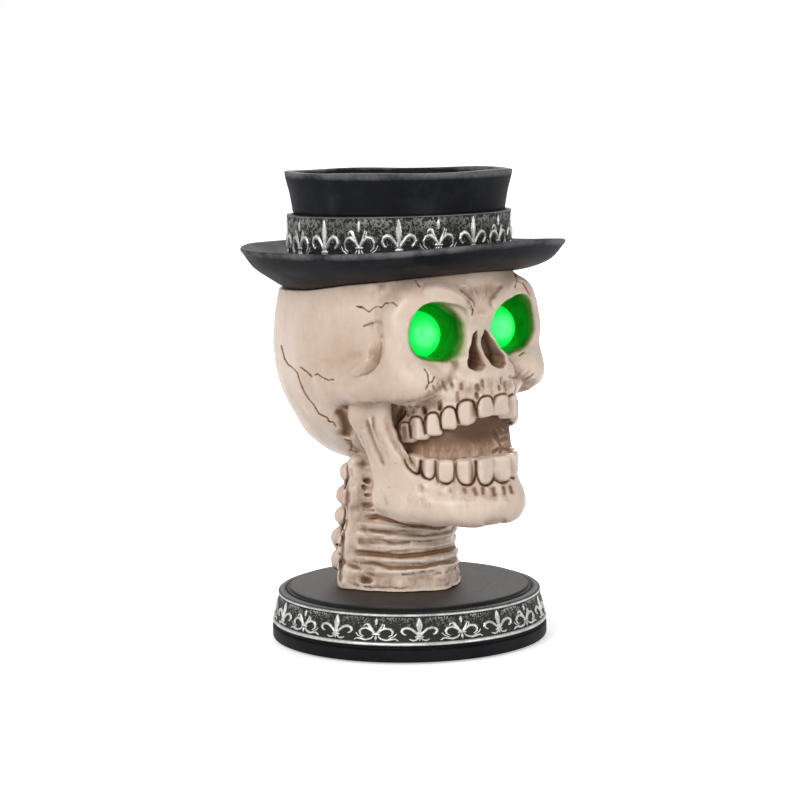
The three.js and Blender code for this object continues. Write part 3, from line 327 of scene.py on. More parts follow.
def flowing(rows, steps):
    """Rows of points with more rows between them, on a smooth curve through them."""
    rows = np.array(rows)
    out = []
    for k, count in enumerate(steps):
        a, b, c, d = rows[max(k - 1, 0)], rows[k], rows[k + 1], rows[min(k + 2, len(rows) - 1)]
        for t in np.arange(count) / count:
            curve = (2 * a - 5 * b + 4 * c - d) * t**2 + (3 * b - a - 3 * c + d) * t**3
            out.append(0.5 * (2 * b + (c - a) * t + curve))
    return out + [rows[-1]]


def distance_to_line(right, down, spots):
    """How far points lie from a line through the spots, and how far along it they are, from 0 to 1."""
    pairs = list(zip(spots[:-1], spots[1:]))
    lengths = [math.dist(a, b) for a, b in pairs]
    total, done = sum(lengths), 0.0
    gap, along = np.full(len(right), 1e9), np.zeros(len(right))
    for (start, end), length in zip(pairs, lengths):
        away, share = to_segment(right, down, start, end)
        nearer = away < gap
        gap = np.where(nearer, away, gap)
        along = np.where(nearer, (done + share * length) / total, along)
        done += length
    return np.sqrt(gap), along


def blend(corner, part, pick):
    """Mix of the values at the eight corners of each point's cell."""
    value = 0
    for shift in itertools.product((0, 1), repeat=3):
        weight = math.prod(np.abs(1 - shift[i] - part[i]) for i in range(3))
        value = value + weight * pick([corner[i] + shift[i] for i in range(3)])
    return value


def unevenness(places, size):
    """Smooth random values from -1 to 1 over space, changing over about the size."""
    cells = 64
    lattice = np.random.default_rng(int(size * 10)).uniform(-1, 1, (cells, cells, cells)).astype(np.float32)
    spots = [place / size + 200 for place in places]
    corner = [np.floor(spot).astype(int) for spot in spots]
    part = [spot - low for spot, low in zip(spots, corner)]
    eased = [t * t * (3 - 2 * t) for t in part]
    return blend(corner, eased, lambda at: lattice[tuple(index % cells for index in at)])


def sample(grid, clay, points):
    """Values of a grid at points, by linear interpolation."""
    place = np.clip((points - clay.low) / clay.step, 0, np.array(grid.shape) - 1.001)
    corner = np.floor(place).astype(int)
    return blend(corner.T, (place - corner).T, lambda at: grid[tuple(at)])


def box_blur(values, cells):
    """Mean over a cube of cells, one axis after the other."""
    width = 2 * cells + 1
    for axis in range(3):
        padding = [np.take(values, [end] * count, axis) for end, count in ((0, cells + 1), (-1, cells))]
        total = np.cumsum(np.concatenate([padding[0], values, padding[1]], axis), axis, dtype=np.float64)
        upper = np.take(total, range(width, total.shape[axis]), axis)
        lower = np.take(total, range(0, total.shape[axis] - width), axis)
        values = ((upper - lower) / width).astype(np.float32)
    return values


# Meshes and pieces


def face_volume(mesh):
    """Six times the volume, above zero where the faces look outward."""
    mesh.calc_loop_triangles()
    points = np.empty(len(mesh.vertices) * 3, np.float32)
    mesh.vertices.foreach_get("co", points)
    corners = np.empty(len(mesh.loop_triangles) * 3, np.int32)
    mesh.loop_triangles.foreach_get("vertices", corners)
    a, b, c = (points.reshape(-1, 3)[corners[i::3]] for i in range(3))
    return float(np.einsum("ij,ij->i", a, np.cross(b, c)).sum())


def mesh_object(name, points, faces, attributes=None):
    """A smooth object, its faces outward, from points in mm over (side, forward, height); forward is -Y."""
    mesh = bpy.data.meshes.new(name)
    mesh.from_pydata((points * np.array([1, -1, 1]) * MM).tolist(), [], faces)
    mesh.update()
    mesh.polygons.foreach_set("use_smooth", np.ones(len(mesh.polygons), bool))
    for key, values in (attributes or {}).items():
        layer = mesh.attributes.new(key, "FLOAT", "POINT")
        layer.data.foreach_set("value", np.asarray(values, np.float32))
    if face_volume(mesh) < 0:
        mesh.flip_normals()
    thing = bpy.data.objects.new(name, mesh)
    bpy.context.scene.collection.objects.link(thing)
    return thing


def finish_piece(thing, nodes, slot):
    thing.data.materials.clear()
    thing.data.materials.append(MATERIALS[slot])
    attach(thing, BODY)
    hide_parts(*nodes)


def cast(name, clay):
    """The clay's surface as a piece, with how hollow each point is, how much brown wash and painted shade it
    takes, and how much painted green light from the domes falls on it.
    """
    grid = openvdb.FloatGrid(6.0)
    grid.copyFromArray(np.clip(clay.form, -6, 6))
    grid.transform = openvdb.createLinearTransform(voxelSize=clay.step)
    points, faces = grid.convertToQuads(isovalue=0.0)
    points = points + clay.low
    attributes = {}
    for key, reach, wide in (("fine", 3, 1.4), ("broad", 8, 4.5)):
        blurred = box_blur(np.clip(clay.form, -reach, reach), max(1, round(wide / clay.step)))
        attributes[key] = -sample(blurred, clay, points)
    attributes["glow"], near = dome_light(clay, points)
    attributes["wash_and_shade"] = sample(clay.marks["wash_and_shade"], clay, points)
    attributes["socket"] = sample(clay.marks["socket"], clay, points) * near
    finish_piece(mesh_object(name, points, faces.tolist(), attributes), [name + "_casting"], "bone")


def dome_light(clay, points):
    """How much green light falls on each point from the lit domes, and how near it is to one."""
    glow, near = np.zeros(len(points)), np.zeros(len(points))
    # in mm: how fast the light falls off, how far the lit socket reaches and how wide its edge is
    fall, lit_reach, lit_edge = 6.5, 26.5, 7
    for side in (-1, 1):
        centre = np.array([side * DOME["side"], DOME["forward"], DOME["height"]])
        toward = centre - points
        away = np.linalg.norm(toward, axis=1)
        probe = points + toward / away[:, None] * clay.step
        facing = (sample(clay.form, clay, probe) - sample(clay.form, clay, points)) / clay.step
        glow += np.exp(-np.maximum(away - DOME["radius"] - 1, 0) / fall) * np.clip(facing * 1.6 + 0.25, 0, 1)
        near = np.maximum(near, np.clip((lit_reach - away) / lit_edge, 0, 1))
    return np.clip(glow, 0, 1), near


# Skull

DOME = {"side": 26.4, "forward": 40.2, "height": 169.8, "radius": 12.5}
UPPER_ARCH = {"radius": 33.7, "forward": 36.9}
LOWER_ARCH = {"radius": 31.0, "forward": 39.7}
UPPER_TURNS = [0, 18.8, 36, 51, 65.8, 81.3, 95]
LOWER_TURNS = [0, 21.8, 41.9, 60.3, 78, 97]
UPPER_EDGES = [127.5, 124.5, 122, 119, 116.5, 114]
UPPER_GUMS = [139.3, 137.3, 134, 130.5, 127.3, 124]
LOWER_EDGES = [105, 105, 105, 105.5, 106.5]
LOWER_GUMS = [91.6, 92, 92.6, 93.8, 96.2]
MOUTH = {"wide": 27.5, "forward": 34, "reach": 29.5, "power": 3.6}
NOSTRIL = [
    (2.8, 171.6), (5.2, 170), (9.4, 163.4), (12.9, 157.2), (12.8, 153.6), (9.6, 151.8),
    (5.6, 152), (2.3, 154), (1.3, 159), (1.6, 167),
]


def arch_point(arch, turn, out, height):
    reach = arch["radius"] + out
    return (reach * math.sin(turn), arch["forward"] + reach * math.cos(turn), height)


def add_teeth(clay, arch, turns, edges, gums):
    """Crowns side by side round an arch, each swelling a little."""
    sunk, overlap, half_deep, square = -3.0, 0.6, 4.2, 5.5
    for i, (edge, gum) in enumerate(zip(edges, gums)):
        first, last = math.radians(turns[i]), math.radians(turns[i + 1])
        middle, width = (first + last) / 2, (last - first) * arch["radius"]
        centre = arch_point(arch, middle, sunk, (edge + gum) / 2)
        half = (width / 2 + overlap, half_deep, abs(gum - edge) / 2 + overlap)
        clay.join(rounded(centre, half, square, -middle), 0.8)


# Lines round the teeth, read on the enlarged face
UPPER_LINES = [
    [(735, 945), (724, 900), (730, 862), (748, 850), (770, 852), (785, 872), (790, 935)],
    [(790, 935), (783, 890), (780, 850), (795, 825), (820, 818), (845, 828), (857, 860), (868, 910)],
    [(868, 910), (862, 870), (866, 835), (880, 808), (905, 797), (932, 805), (947, 840), (955, 888)],
    [(955, 888), (948, 840), (958, 792), (985, 768), (1018, 772), (1034, 805), (1050, 860)],
    [(1050, 860), (1036, 800), (1048, 748), (1088, 730), (1125, 740), (1141, 785), (1150, 835)],
    [(1150, 835), (1145, 775), (1160, 728), (1190, 708), (1222, 714), (1238, 750), (1255, 808)],
]
LOWER_LINES = [
    [(755, 1052), (768, 1085), (800, 1120), (830, 1128), (838, 1100), (845, 1060)],
    [(842, 1062), (842, 1105), (860, 1145), (892, 1160), (916, 1142), (923, 1100), (923, 1062)],
    [(925, 1062), (926, 1130), (945, 1170), (985, 1183), (1018, 1162), (1028, 1120), (1028, 1062)],
    [(1030, 1062), (1033, 1130), (1055, 1177), (1092, 1191), (1124, 1178), (1139, 1130), (1139, 1062)],
    [(1142, 1062), (1145, 1130), (1165, 1182), (1195, 1193), (1224, 1176), (1243, 1120), (1243, 1058)],
]


def line_teeth(clay, lines, arch):
    def on_teeth(x, f, _):
        return np.hypot(x, np.maximum(f - arch["forward"], 0)) > arch["radius"] - 5

    for line in lines:
        curve = flowing(FACE(line), [4] * (len(line) - 1))
        # dark lines round each crown: brown wash and painted shade in the gaps between the teeth
        for width, depth, wash_and_shade in ((1.0, 0.95, 1.0), (2.4, 0.2, 0.46)):
            clay.stroke(curve, width, depth, wash_and_shade, bleed=1.2, fade=0.0, where=on_teeth)


# Broad masses of the skull, then its cheek bones: middle, half sizes, softness of the join
SKULL_MASSES = [
    ((0, -17, 157), (60.5, 63, 61), 1), ((0, -8, 184), (58.4, 65, 52), 14),
    ((0, -29, 119.5), (37.5, 37.5, 23.5), 10), ((0, 7, 190), (54.5, 53.5, 40), 10),
    ((0, 25, 163), (48, 33, 27), 10),
]
CHEEKS = [((38, 48, 148), (13, 15, 11.6), 8), ((41, 46.5, 144.8), (9.5, 12.5, 8.6), 6)]


def skull_form():
    clay = Clay((0, -86, 86), (66, 78, 206))
    for centre, half, soft in SKULL_MASSES:
        clay.join(ellipsoid(centre, half), soft)
    clay.join(rounded((0, 36, 144), (34.5, 34, 19), 2.6), 7)
    for centre, half, soft in CHEEKS:
        clay.join(ellipsoid(centre, half), soft)
    # arches that run back from the cheek bones
    clay.chain([(43, 41, 148), (49, 26, 145), (51, 4, 142)], [9.5, 9.5, 8.5], 9)
    # outer rims of the sockets and the angry brows
    clay.chain([(43.5, 46, 181), (45, 48.2, 170), (44, 47.5, 158)], [5.5, 4.8, 6], 9)
    clay.chain([(43.5, 46, 180), (37, 49, 187.5), (27, 51, 189.5), (17, 54, 187.5), (9, 55.5, 181)],
               [6, 6, 6, 6, 5.5], 9)
    # bridge of the nose, and the rim of its opening
    clay.join(limb((0, 51.5, 182), (0, 56.4, 172.2), 5.6, 4.4), 5)
    clay.chain([(3.4, 57, 172.6), (8.6, 59, 165), (12, 61, 157), (10, 62, 151), (3, 63, 150)],
               [2.4, 2.8, 3.2, 3.4, 3.4], 4)
    # mass that fills the mouth
    clay.join(rounded((0, MOUTH["forward"], 108), (MOUTH["wide"], MOUTH["reach"], 26), MOUTH["power"]), 1.5)
    clay.cut(ellipsoid((0, 70, 120), (27, 13, 8)), 4)
    # sockets, and the inner ends of the brows over them
    # the walls of the sockets take painted green light from the lit domes
    green = {"wash_and_shade": 1.0, "reach": 2.6, "mark": "socket"}
    clay.cut(rounded((25.4, 60, 173.2), (16.6, 30, 14.6), 2.8, -0.1, 0.16), 1.2, **green)
    clay.cut(ellipsoid((21.5, 56, 165.3), (9, 18, 7.6)), 2, **green)
    clay.chain([(20, 51.5, 190), (13, 53.5, 185.5), (8, 55.5, 180)], [4.8, 4.6, 3.8], 4)
    # under the arch, where the jaw rises, darkened with painted shade and brown wash
    clay.cut(rounded((43.5, 30, 119.5), (9.5, 20, 15.5), 3), 3, wash_and_shade=0.75, reach=3)
    # hollows at the temple and in front of the cheek
    clay.cut(ellipsoid((63, 24, 170), (7, 20, 20)), 8)
    clay.cut(ellipsoid((27, 74, 148), (7, 8, 9)), 6)
    add_teeth(clay, UPPER_ARCH, UPPER_TURNS, UPPER_EDGES, UPPER_GUMS)
    # roots under the gum
    for i, gum in enumerate(UPPER_GUMS):
        middle = math.radians((UPPER_TURNS[i] + UPPER_TURNS[i + 1]) / 2)
        low = arch_point(UPPER_ARCH, middle, -2.8, gum)
        high = arch_point(UPPER_ARCH, middle, -5.8, gum + 12 - i)
        clay.join(limb(low, high, 3.0, 2.0), 2.5)
    # openings of the nose, darkened inside with brown wash and painted shade
    clay.cut(pillar(NOSTRIL, 80, 54), 0.9, wash_and_shade=0.7, reach=0.8)
    clay.mark_skin(mark_skull)
    # flat under the hat
    side, forward, height = np.ix_(*clay.axes)
    clay.form = np.maximum(clay.form, height - seat_height(side, forward) + 0.2)
    return clay


# Strokes on the enlarged face: line, width in pixels, depth in mm, wash and painted shade
# Ridge of the brow, furrow between the brows, small crease at the temple, lower edge of the cheek bone
BROW_AND_CHEEK = [
    ([(850, 138), (930, 118), (1000, 138), (1060, 172), (1105, 215), (1130, 255)], 4.6, -1.1),
    ([(1040, 118), (1090, 150), (1128, 195), (1145, 240), (1145, 285)], 5, 0.55),
    ([(540, 335), (600, 305), (650, 320)], 3, 0.4, 0.18),
    ([(720, 748), (830, 733), (905, 700), (975, 640), (1030, 585)], 2.6, 0.8, 0.35),
]
# Edge of the temple and the hollow behind it
TEMPLE = [
    ([(640, 350), (668, 430), (662, 520), (620, 590), (520, 635), (430, 655)], 7, -0.8),
    ([(578, 360), (604, 440), (594, 520), (548, 575), (460, 600)], 6, 0.75, 0.24),
]
# Wrinkles that fan out between the cheek bone and the gum
FAN = [
    ([(902, 640), (915, 668), (936, 705)], 1.2, 0.9, 0.5),
    ([(928, 622), (942, 660), (958, 700)], 0.9, 0.6, 0.35),
    ([(950, 605), (966, 648), (985, 692)], 1.4, 1.0, 0.6),
    ([(985, 588), (1006, 635), (1028, 688)], 1.5, 1.0, 0.6),
    ([(1012, 568), (1032, 606), (1050, 650)], 1.1, 0.7, 0.4),
    ([(880, 668), (892, 695), (905, 730)], 1.3, 0.6, 0.35),
    ([(848, 712), (860, 735), (872, 752)], 1.3, 0.6, 0.4),
    ([(770, 742), (782, 760), (790, 780)], 1.2, 0.5, 0.4),
]
# Only on the near side: cracks between the brows, a pit, folds of the far cheek, under the skull's base
NEAR_ONLY = [
    ([(1088, 185), (1112, 212), (1124, 245), (1116, 283)], 0.6, 0.9, 1.0),
    ([(1100, 228), (1124, 247), (1135, 238)], 0.5, 0.6, 0.8),
    ([(1265, 655), (1268, 672)], 1.4, 0.9, 0.6),
    ([(1310, 595), (1335, 610), (1380, 600)], 2.2, 0.9, 0.35),
    ([(1345, 700), (1420, 685), (1470, 650)], 2.4, 0.4, 0.25),
    ([(440, 940), (480, 985), (520, 1020)], 2.5, 0.7, 0.3),
]
# Pits between the roots, over the gum: line, width, wash and painted shade
UPPER_PITS = [
    ([(745, 765), (735, 795)], 1.6, 0.6), ([(765, 795), (775, 815)], 1.3, 0.5),
    ([(860, 770), (868, 800)], 1.4, 0.45), ([(945, 742), (950, 775)], 1.5, 0.4),
    ([(1040, 690), (1045, 735)], 1.5, 0.4), ([(1061, 648), (1062, 668)], 1.6, 0.6),
    ([(1148, 655), (1151, 672)], 1.7, 0.5), ([(1143, 695), (1150, 720)], 1.3, 0.35),
    ([(1175, 628), (1178, 650)], 1.4, 0.45), ([(1235, 640), (1240, 700)], 1.6, 0.4),
]
# Brown clouds of wash and painted shade: line, width, wash and shade
CLOUDS = [
    ([(360, 770), (420, 800), (500, 800)], 9, 0.42), ([(540, 770), (680, 760), (820, 745)], 5, 0.3),
    ([(800, 790), (900, 745), (1000, 700)], 6, 0.32), ([(1040, 690), (1150, 665), (1245, 640)], 5, 0.3),
    ([(700, 860), (735, 800), (790, 770)], 6, 0.4), ([(1050, 130), (1130, 150), (1200, 120)], 7, 0.32),
    ([(1090, 105), (1110, 180), (1120, 250)], 5, 0.3), ([(1180, 215), (1205, 165), (1260, 125)], 4, 0.26),
    ([(540, 100), (640, 110), (746, 140)], 6, 0.26), ([(960, 560), (990, 620), (960, 680)], 7, 0.26),
]
# Marks in the mouth: its broken far corner, its near corner and the shade over the lower teeth
MOUTH_CORNERS = [
    ([(1290, 850), (1320, 880)], 4.2, 0.8, 0.62), ([(1235, 905), (1262, 950), (1300, 940)], 2.2, 1.0, 0.66),
    ([(1235, 1010), (1270, 990), (1315, 1000)], 2.0, 1.0, 0.62),
    ([(1262, 950), (1275, 985), (1270, 1040)], 1.4, 1.0, 0.7),
    ([(700, 1000), (740, 1020), (790, 1005)], 4.0, 0.9, 0.75),
    ([(860, 1045), (1000, 1050), (1200, 1048)], 2.5, 0.2, 0.5),
]


def in_mouth(x, f, z):
    across, deep = np.abs(x) / MOUTH["wide"], np.maximum(f - MOUTH["forward"], 0) / MOUTH["reach"]
    return (across ** MOUTH["power"] + deep ** MOUTH["power"] < 1.16) & (f > 9) & (z < 131)


def drawn(rows, wider, depth, stronger=1.0):
    """Rows of line, width and wash with painted shade, made rows of line, width, depth and wash with painted
    shade.
    """
    return [(line, width * wider, depth, wash_and_shade * stronger) for line, width, wash_and_shade in rows]


def mark_skull(clay):
    clay.roughen((9, 3.4), (0.3, 0.14))
    line_teeth(clay, UPPER_LINES, UPPER_ARCH)
    clay.strokes(FACE, BROW_AND_CHEEK)
    clay.strokes(FACE, TEMPLE, fade=0.3)
    clay.strokes(FACE, FAN, fade=0.4)
    clay.strokes(FACE, NEAR_ONLY, view="near")
    # beside the nose, and along the cheek bone
    clay.stroke(FACE([(1018, 500), (1024, 555), (1008, 605), (985, 645)]), 4.0, 1.1, 0.42, bleed=1.6)
    clay.stroke(FACE([(940, 695), (880, 728), (800, 762)]), 3.6, 0.7, 0.4, bleed=1.5)
    clay.strokes(FACE, drawn(UPPER_PITS, 1.5, 0.8))
    clay.strokes(FACE, drawn(UPPER_PITS, 3.4, 0.1, 0.55))
    clay.strokes(FACE, drawn(CLOUDS, 1, 0.1, 1.35), fade=0.4)
    # painted shade and brown wash in the recess between the jaw and the base of the skull
    clay.stroke(FACE([(385, 770), (425, 820), (445, 880), (430, 940)]), 5, 2.2, 0.75, "near", bleed=1.4)
    clay.stroke(FACE([(400, 775), (480, 768), (600, 752)]), 3, 1.0, 0.5, "near", bleed=1.6)
    # painted shade in the hollow of the mouth, darkest under the upper teeth
    hollow = in_mouth(*clay.places)
    clay.ink_and_shade[hollow] = 0.38 + 0.36 * np.clip((clay.places[2][hollow] - 104) / 11, 0, 1)
    clay.strokes(FACE, MOUTH_CORNERS, view="near", fade=0.0, where=in_mouth)
    for line in CRACKS:
        clay.stroke(line, 0.5, 0.8, 1.0, "near", bleed=1.35, fade=0.0)


CRACKS = [
    SIDE([(905, 380), (960, 385), (1035, 440), (1080, 400), (1120, 380), (1170, 390), (1210, 345),
          (1290, 345), (1330, 375)]),
    SIDE([(120, 790), (155, 930), (190, 985), (240, 1025), (290, 1080), (310, 1160), (360, 1280), (415, 1360),
          (460, 1410), (510, 1500), (600, 1545), (620, 1585), (665, 1590), (690, 1640)]),
    SIDE([(320, 1015), (380, 1060), (435, 1110)]),
    SIDE([(475, 1095), (500, 1085), (550, 1125), (610, 1150), (665, 1145)]),
    FACE([(498, 225), (520, 232)]),
    FACE([(813, 83), (822, 100), (838, 120)]),
    FACE([(1350, 48), (1362, 90), (1350, 122)]),
    FACE([(1362, 85), (1395, 100), (1412, 130), (1432, 165)]),
    FACE([(862, 560), (880, 590), (885, 640), (868, 672)]),
    FACE([(885, 640), (905, 632), (915, 605)]),
    FACE([(1375, 490), (1400, 472)]),
    FACE([(535, 330), (585, 312)]),
    FACE([(430, 942), (465, 950), (470, 985), (460, 1000), (495, 1012), (528, 1040)]),
]


# Jaw

# Ramus, level by level, as column takes it
RAMUS = [
    (74, 34.5, 34, 4.6, 11, 9), (79, 34.8, 36, 5.4, 14, 14), (86, 35, 37, 5.6, 14, 16),
    (92, 35.6, 37, 5.4, 13, 16), (97, 36.4, 36, 5.2, 12.8, 15.5), (105, 38.6, 31, 5.0, 11.6, 13),
    (115, 40.6, 26, 5.0, 10.4, 12.5), (126, 42.2, 21.5, 4.8, 11.6, 11.5), (134, 42.8, 22, 4.6, 11.4, 10.5),
    (141, 43, 23, 4.4, 11, 9),
]


def jaw_form():
    clay = Clay((0, -8, 66), (53, 82, 142))
    # roll of the lower border, from the angle of the jaw to the chin
    clay.chain([(35, 26, 83), (31.5, 39, 80.5), (24, 52.5, 80), (14, 63.5, 80.5), (0, 68, 80.8)],
               [7.2, 8.4, 8.8, 9.4, 9.6], 7)
    clay.chain([(9, 69, 79.5), (0, 70, 79.5)], [8.4, 8.4], 6)
    # wall that carries the teeth
    wall = [arch_point(LOWER_ARCH, math.radians(turn), -4.2, 89.5) for turn in (0, 22, 44, 66, 88)]
    clay.chain(wall, [4.4] * 5, 5)
    clay.join(column(RAMUS, 2.6, 0.24), 5)
    # head of the jaw's joint
    clay.join(limb((44.2, 14, 127), (43.6, 15, 133), 5, 5.2), 5)
    add_teeth(clay, LOWER_ARCH, LOWER_TURNS, LOWER_EDGES, LOWER_GUMS)
    clay.cut(rounded((0, 30, 108), (26.2, 32, 21), 5), 1)
    clay.mark_skin(mark_jaw)
    return clay


# Pits between the roots, read on the enlarged face: line, width, wash and painted shade
LOWER_PITS = [
    ([(845, 1195), (852, 1205)], 2.6, 0.35), ([(1003, 1212), (1007, 1226)], 2.6, 0.4),
    ([(1080, 1214), (1084, 1228)], 2.8, 0.5), ([(1133, 1212), (1140, 1236)], 2.7, 0.66),
    ([(1178, 1210), (1180, 1234)], 2.2, 0.6), ([(1234, 1210), (1240, 1242)], 2.4, 0.7),
    ([(1290, 1205), (1296, 1238)], 2.1, 0.6), ([(1326, 1200), (1334, 1230)], 1.9, 0.6),
]
# Flutes down the ramus and the dent under it
FLUTES = [
    ([(340, 130), (362, 200), (398, 300), (430, 380), (470, 470), (495, 520)], 3.4, 1.3, 0.2),
    ([(398, 90), (402, 190), (418, 260), (446, 350)], 2.6, 0.9, 0.14),
    ([(370, 120), (385, 220), (412, 300), (440, 380)], 2.4, -0.8),
    ([(290, 230), (322, 300), (352, 400), (372, 520)], 3.6, 0.8, 0.1),
    ([(440, 660), (480, 730), (520, 790)], 5, 0.5, 0.14),
]
# Two pinholes, and the step in the lower border beside the chin
JAW_NEAR_ONLY = [
    ([(560, 470), (562, 472)], 0.6, 0.5, 0.9),
    ([(515, 655), (517, 656)], 0.5, 0.4, 0.6),
    ([(1210, 930), (1290, 900), (1400, 905)], 3.0, 0.7),
]


def mark_jaw(clay):
    clay.roughen((9, 3.4), (0.3, 0.14))
    line_teeth(clay, LOWER_LINES, LOWER_ARCH)
    clay.strokes(FACE, [(line, width, 1.6 * wash_and_shade, wash_and_shade) for line, width, wash_and_shade in LOWER_PITS], view="near")
    clay.strokes(FACE, drawn(LOWER_PITS, 2.2, 0.2, 0.6), view="near")
    clay.strokes(LOWER, FLUTES)
    clay.strokes(LOWER, JAW_NEAR_ONLY, view="near")
    # clouds of wash and painted shade on the ramus and along the lower border
    clay.stroke(LOWER([(380, 90), (400, 240), (450, 380), (500, 520)]), 8, 0.1, 0.26, fade=0.3)
    clay.stroke(LOWER([(480, 600), (620, 720), (820, 800), (1000, 800)]), 6, 0.1, 0.16, fade=0.4)
    # front face of the ramus, in shade
    front = [(505, 100), (510, 200), (535, 290), (585, 370), (650, 440), (730, 520)]
    clay.stroke(LOWER(front), 3.4, 0.3, 0.34, "near", bleed=1.2)


# Neck

# Knobs of the vertebrae, on both sides of the back: side, forward, height, radius
KNOBS = [
    (23.6, -19.8, 90, 6.1), (25.2, -21.2, 77.5, 6.4), (25.8, -22, 66, 6.2), (27, -23.6, 54, 6.3),
    (26.8, -24.4, 41, 6.9),
]
# Lumps beside the knobs: first and last place, radius
LUMPS = [
    ((30.5, -6.5, 97), (30.5, -6, 92), 5), ((30.5, -7, 83), (31.5, -8, 77), 6),
    ((30, -8, 69), (31, -9, 63), 5.2), ((31.5, -11, 54), (32, -13, 46), 6.4),
    ((32.5, -11.5, 36.5), (33, -12, 32), 6.4),
]
# Level by level: height, half width, reach in front, reach behind
NECK_ROWS = [
    (28.7, 37, 41, 31.6), (31, 36, 40, 30.6), (36, 35, 39, 29.6), (44, 34, 38, 28.4), (60, 32.6, 36.4, 26.8),
    (75, 31.6, 35.6, 26), (92, 31.4, 35.4, 25.4), (98, 29.5, 35, 23), (107, 23, 34, 16),
]
# Rings of folds in front: height, swell
RINGS = [(64, 0.5), (58.5, 0.8), (52, 0.5), (45.5, 1.4), (38.5, 0.7), (33.5, 0.5)]
NECK_FORWARD = -10


def neck_form():
    clay = Clay((0, -52, 27), (46, 36, 110))
    clay.join(column([(height, 0, NECK_FORWARD, *reach) for height, *reach in NECK_ROWS], 1.6), 0.5)
    for side, forward, height, radius in KNOBS:
        clay.join(ellipsoid((side, forward, height), (radius, radius + 1, radius * 0.98)), 2.4)
        clay.join(ellipsoid((9, forward - 15, height - 4), (7, 6, radius * 0.9)), 3)
    for first, last, wide in LUMPS:
        clay.join(limb(first, last, wide, wide), 3.4)
    for height, swell in RINGS:
        profile = ((-2.6, -1.5), (-1.3, swell * 0.7), (0, swell), (1.3, swell * 0.7), (2.6, -1.5))
        ring = [(height + lift, 0, NECK_FORWARD, 33.2 + out, 37 + out, 25) for lift, out in profile]
        clay.join(column(ring, 1.6), 1.6)
    clay.mark_skin(mark_neck)
    # flat foot on the plinth
    clay.form = np.maximum(clay.form, 28.9 - clay.axes[2][None, None, :])
    return clay


# Strokes on the enlarged lower part: line, width in pixels, depth in mm, wash and painted shade
FOLDS = [
    ([(300, 872), (420, 868), (520, 895), (700, 938), (1010, 962)], 2.0, 1.5, 0.5),
    ([(300, 960), (430, 985), (600, 1000), (780, 1012), (1000, 975)], 1.8, 1.1, 0.32),
    ([(290, 1052), (380, 1066), (560, 1072), (700, 1060)], 1.6, 0.7, 0.22),
    ([(240, 1135), (420, 1150), (600, 1168), (760, 1152), (1000, 1108)], 2.6, 2.2, 0.62),
    ([(420, 1140), (640, 1128), (860, 1112), (1000, 1080)], 1.2, 0.8, 0.3),
    ([(280, 1225), (400, 1218), (520, 1255), (760, 1250), (1010, 1192)], 2.0, 1.3, 0.4),
    ([(560, 1300), (760, 1312), (1000, 1285)], 1.6, 0.5, 0.1),
    ([(200, 1370), (400, 1408), (700, 1412), (1000, 1385)], 2.2, 0.7, 0.16),
]
RIDGES = [
    ([(330, 1030), (600, 1040), (980, 1028)], 2.4, -0.7),
    ([(420, 1195), (760, 1205), (1000, 1150)], 2.4, -0.7),
    ([(300, 930), (560, 955), (960, 985)], 2.4, -0.7),
    ([(330, 1275), (560, 1290), (990, 1240)], 2.4, -0.7),
]
# Clouds of wash and painted shade down the neck, and round it
DOWN_CLOUDS = [
    ([(180, 500), (200, 700), (190, 900), (150, 1100), (120, 1380)], 9, 0.1, 0.24),
    ([(330, 540), (350, 760), (370, 1000), (340, 1350)], 8, 0.1, 0.3),
]
ROUND_CLOUDS = [
    ([(240, 1160), (600, 1190), (1020, 1130)], 9, 0.1, 0.27),
    ([(180, 1330), (600, 1370), (1000, 1330)], 9, 0.1, 0.27),
]
# Groove between the knobs and the lumps
GROOVE = [
    (205, 470), (212, 560), (205, 660), (202, 780), (195, 900), (175, 980), (172, 1080), (165, 1180),
    (150, 1290), (150, 1390),
]
# Hollows of the lumps
HOLLOWS = [
    ([(345, 575), (352, 600), (345, 632)], 3.4, 2.0, 0.75), ([(320, 640), (335, 655)], 2.4, 0.8, 0.35),
    ([(300, 782), (350, 792), (410, 782)], 2.8, 1.5, 0.5), ([(325, 818), (400, 824)], 1.4, 0.7, 0.4),
    ([(330, 888), (400, 884), (470, 880)], 1.2, 1.2, 0.9),
    ([(300, 700), (360, 712), (400, 705)], 2.2, 0.8, 0.25),
    ([(280, 1320), (335, 1345), (410, 1352)], 3.6, 1.9, 0.85),
    ([(300, 1290), (360, 1300), (450, 1330)], 2.0, 0.8, 0.4),
    ([(180, 1215), (240, 1240), (330, 1275)], 2.0, 1.2, 0.5), ([(150, 1150), (185, 1215)], 1.8, 1.2, 0.6),
    ([(215, 470), (320, 478), (400, 470)], 3.6, 1.0, 0.5),
    ([(100, 1235), (120, 1270), (150, 1300)], 1.6, 1.2, 0.7),
    ([(230, 520), (232, 560)], 2.4, 0.8, 0.5), ([(212, 690), (214, 760)], 2.0, 1.0, 0.5),
    ([(196, 900), (182, 960)], 2.6, 1.2, 0.6), ([(165, 1170), (160, 1230)], 2.6, 1.2, 0.6),
    ([(335, 960), (345, 1000)], 3.4, 0.8, 0.35), ([(310, 1065), (350, 1080)], 3.2, 0.8, 0.4),
    ([(125, 1080), (160, 1090)], 1.2, 1.2, 0.8), ([(185, 660), (198, 640)], 0.9, 1.0, 1.0),
    ([(110, 1300), (120, 1400)], 2.4, 1.4, 0.7),
]


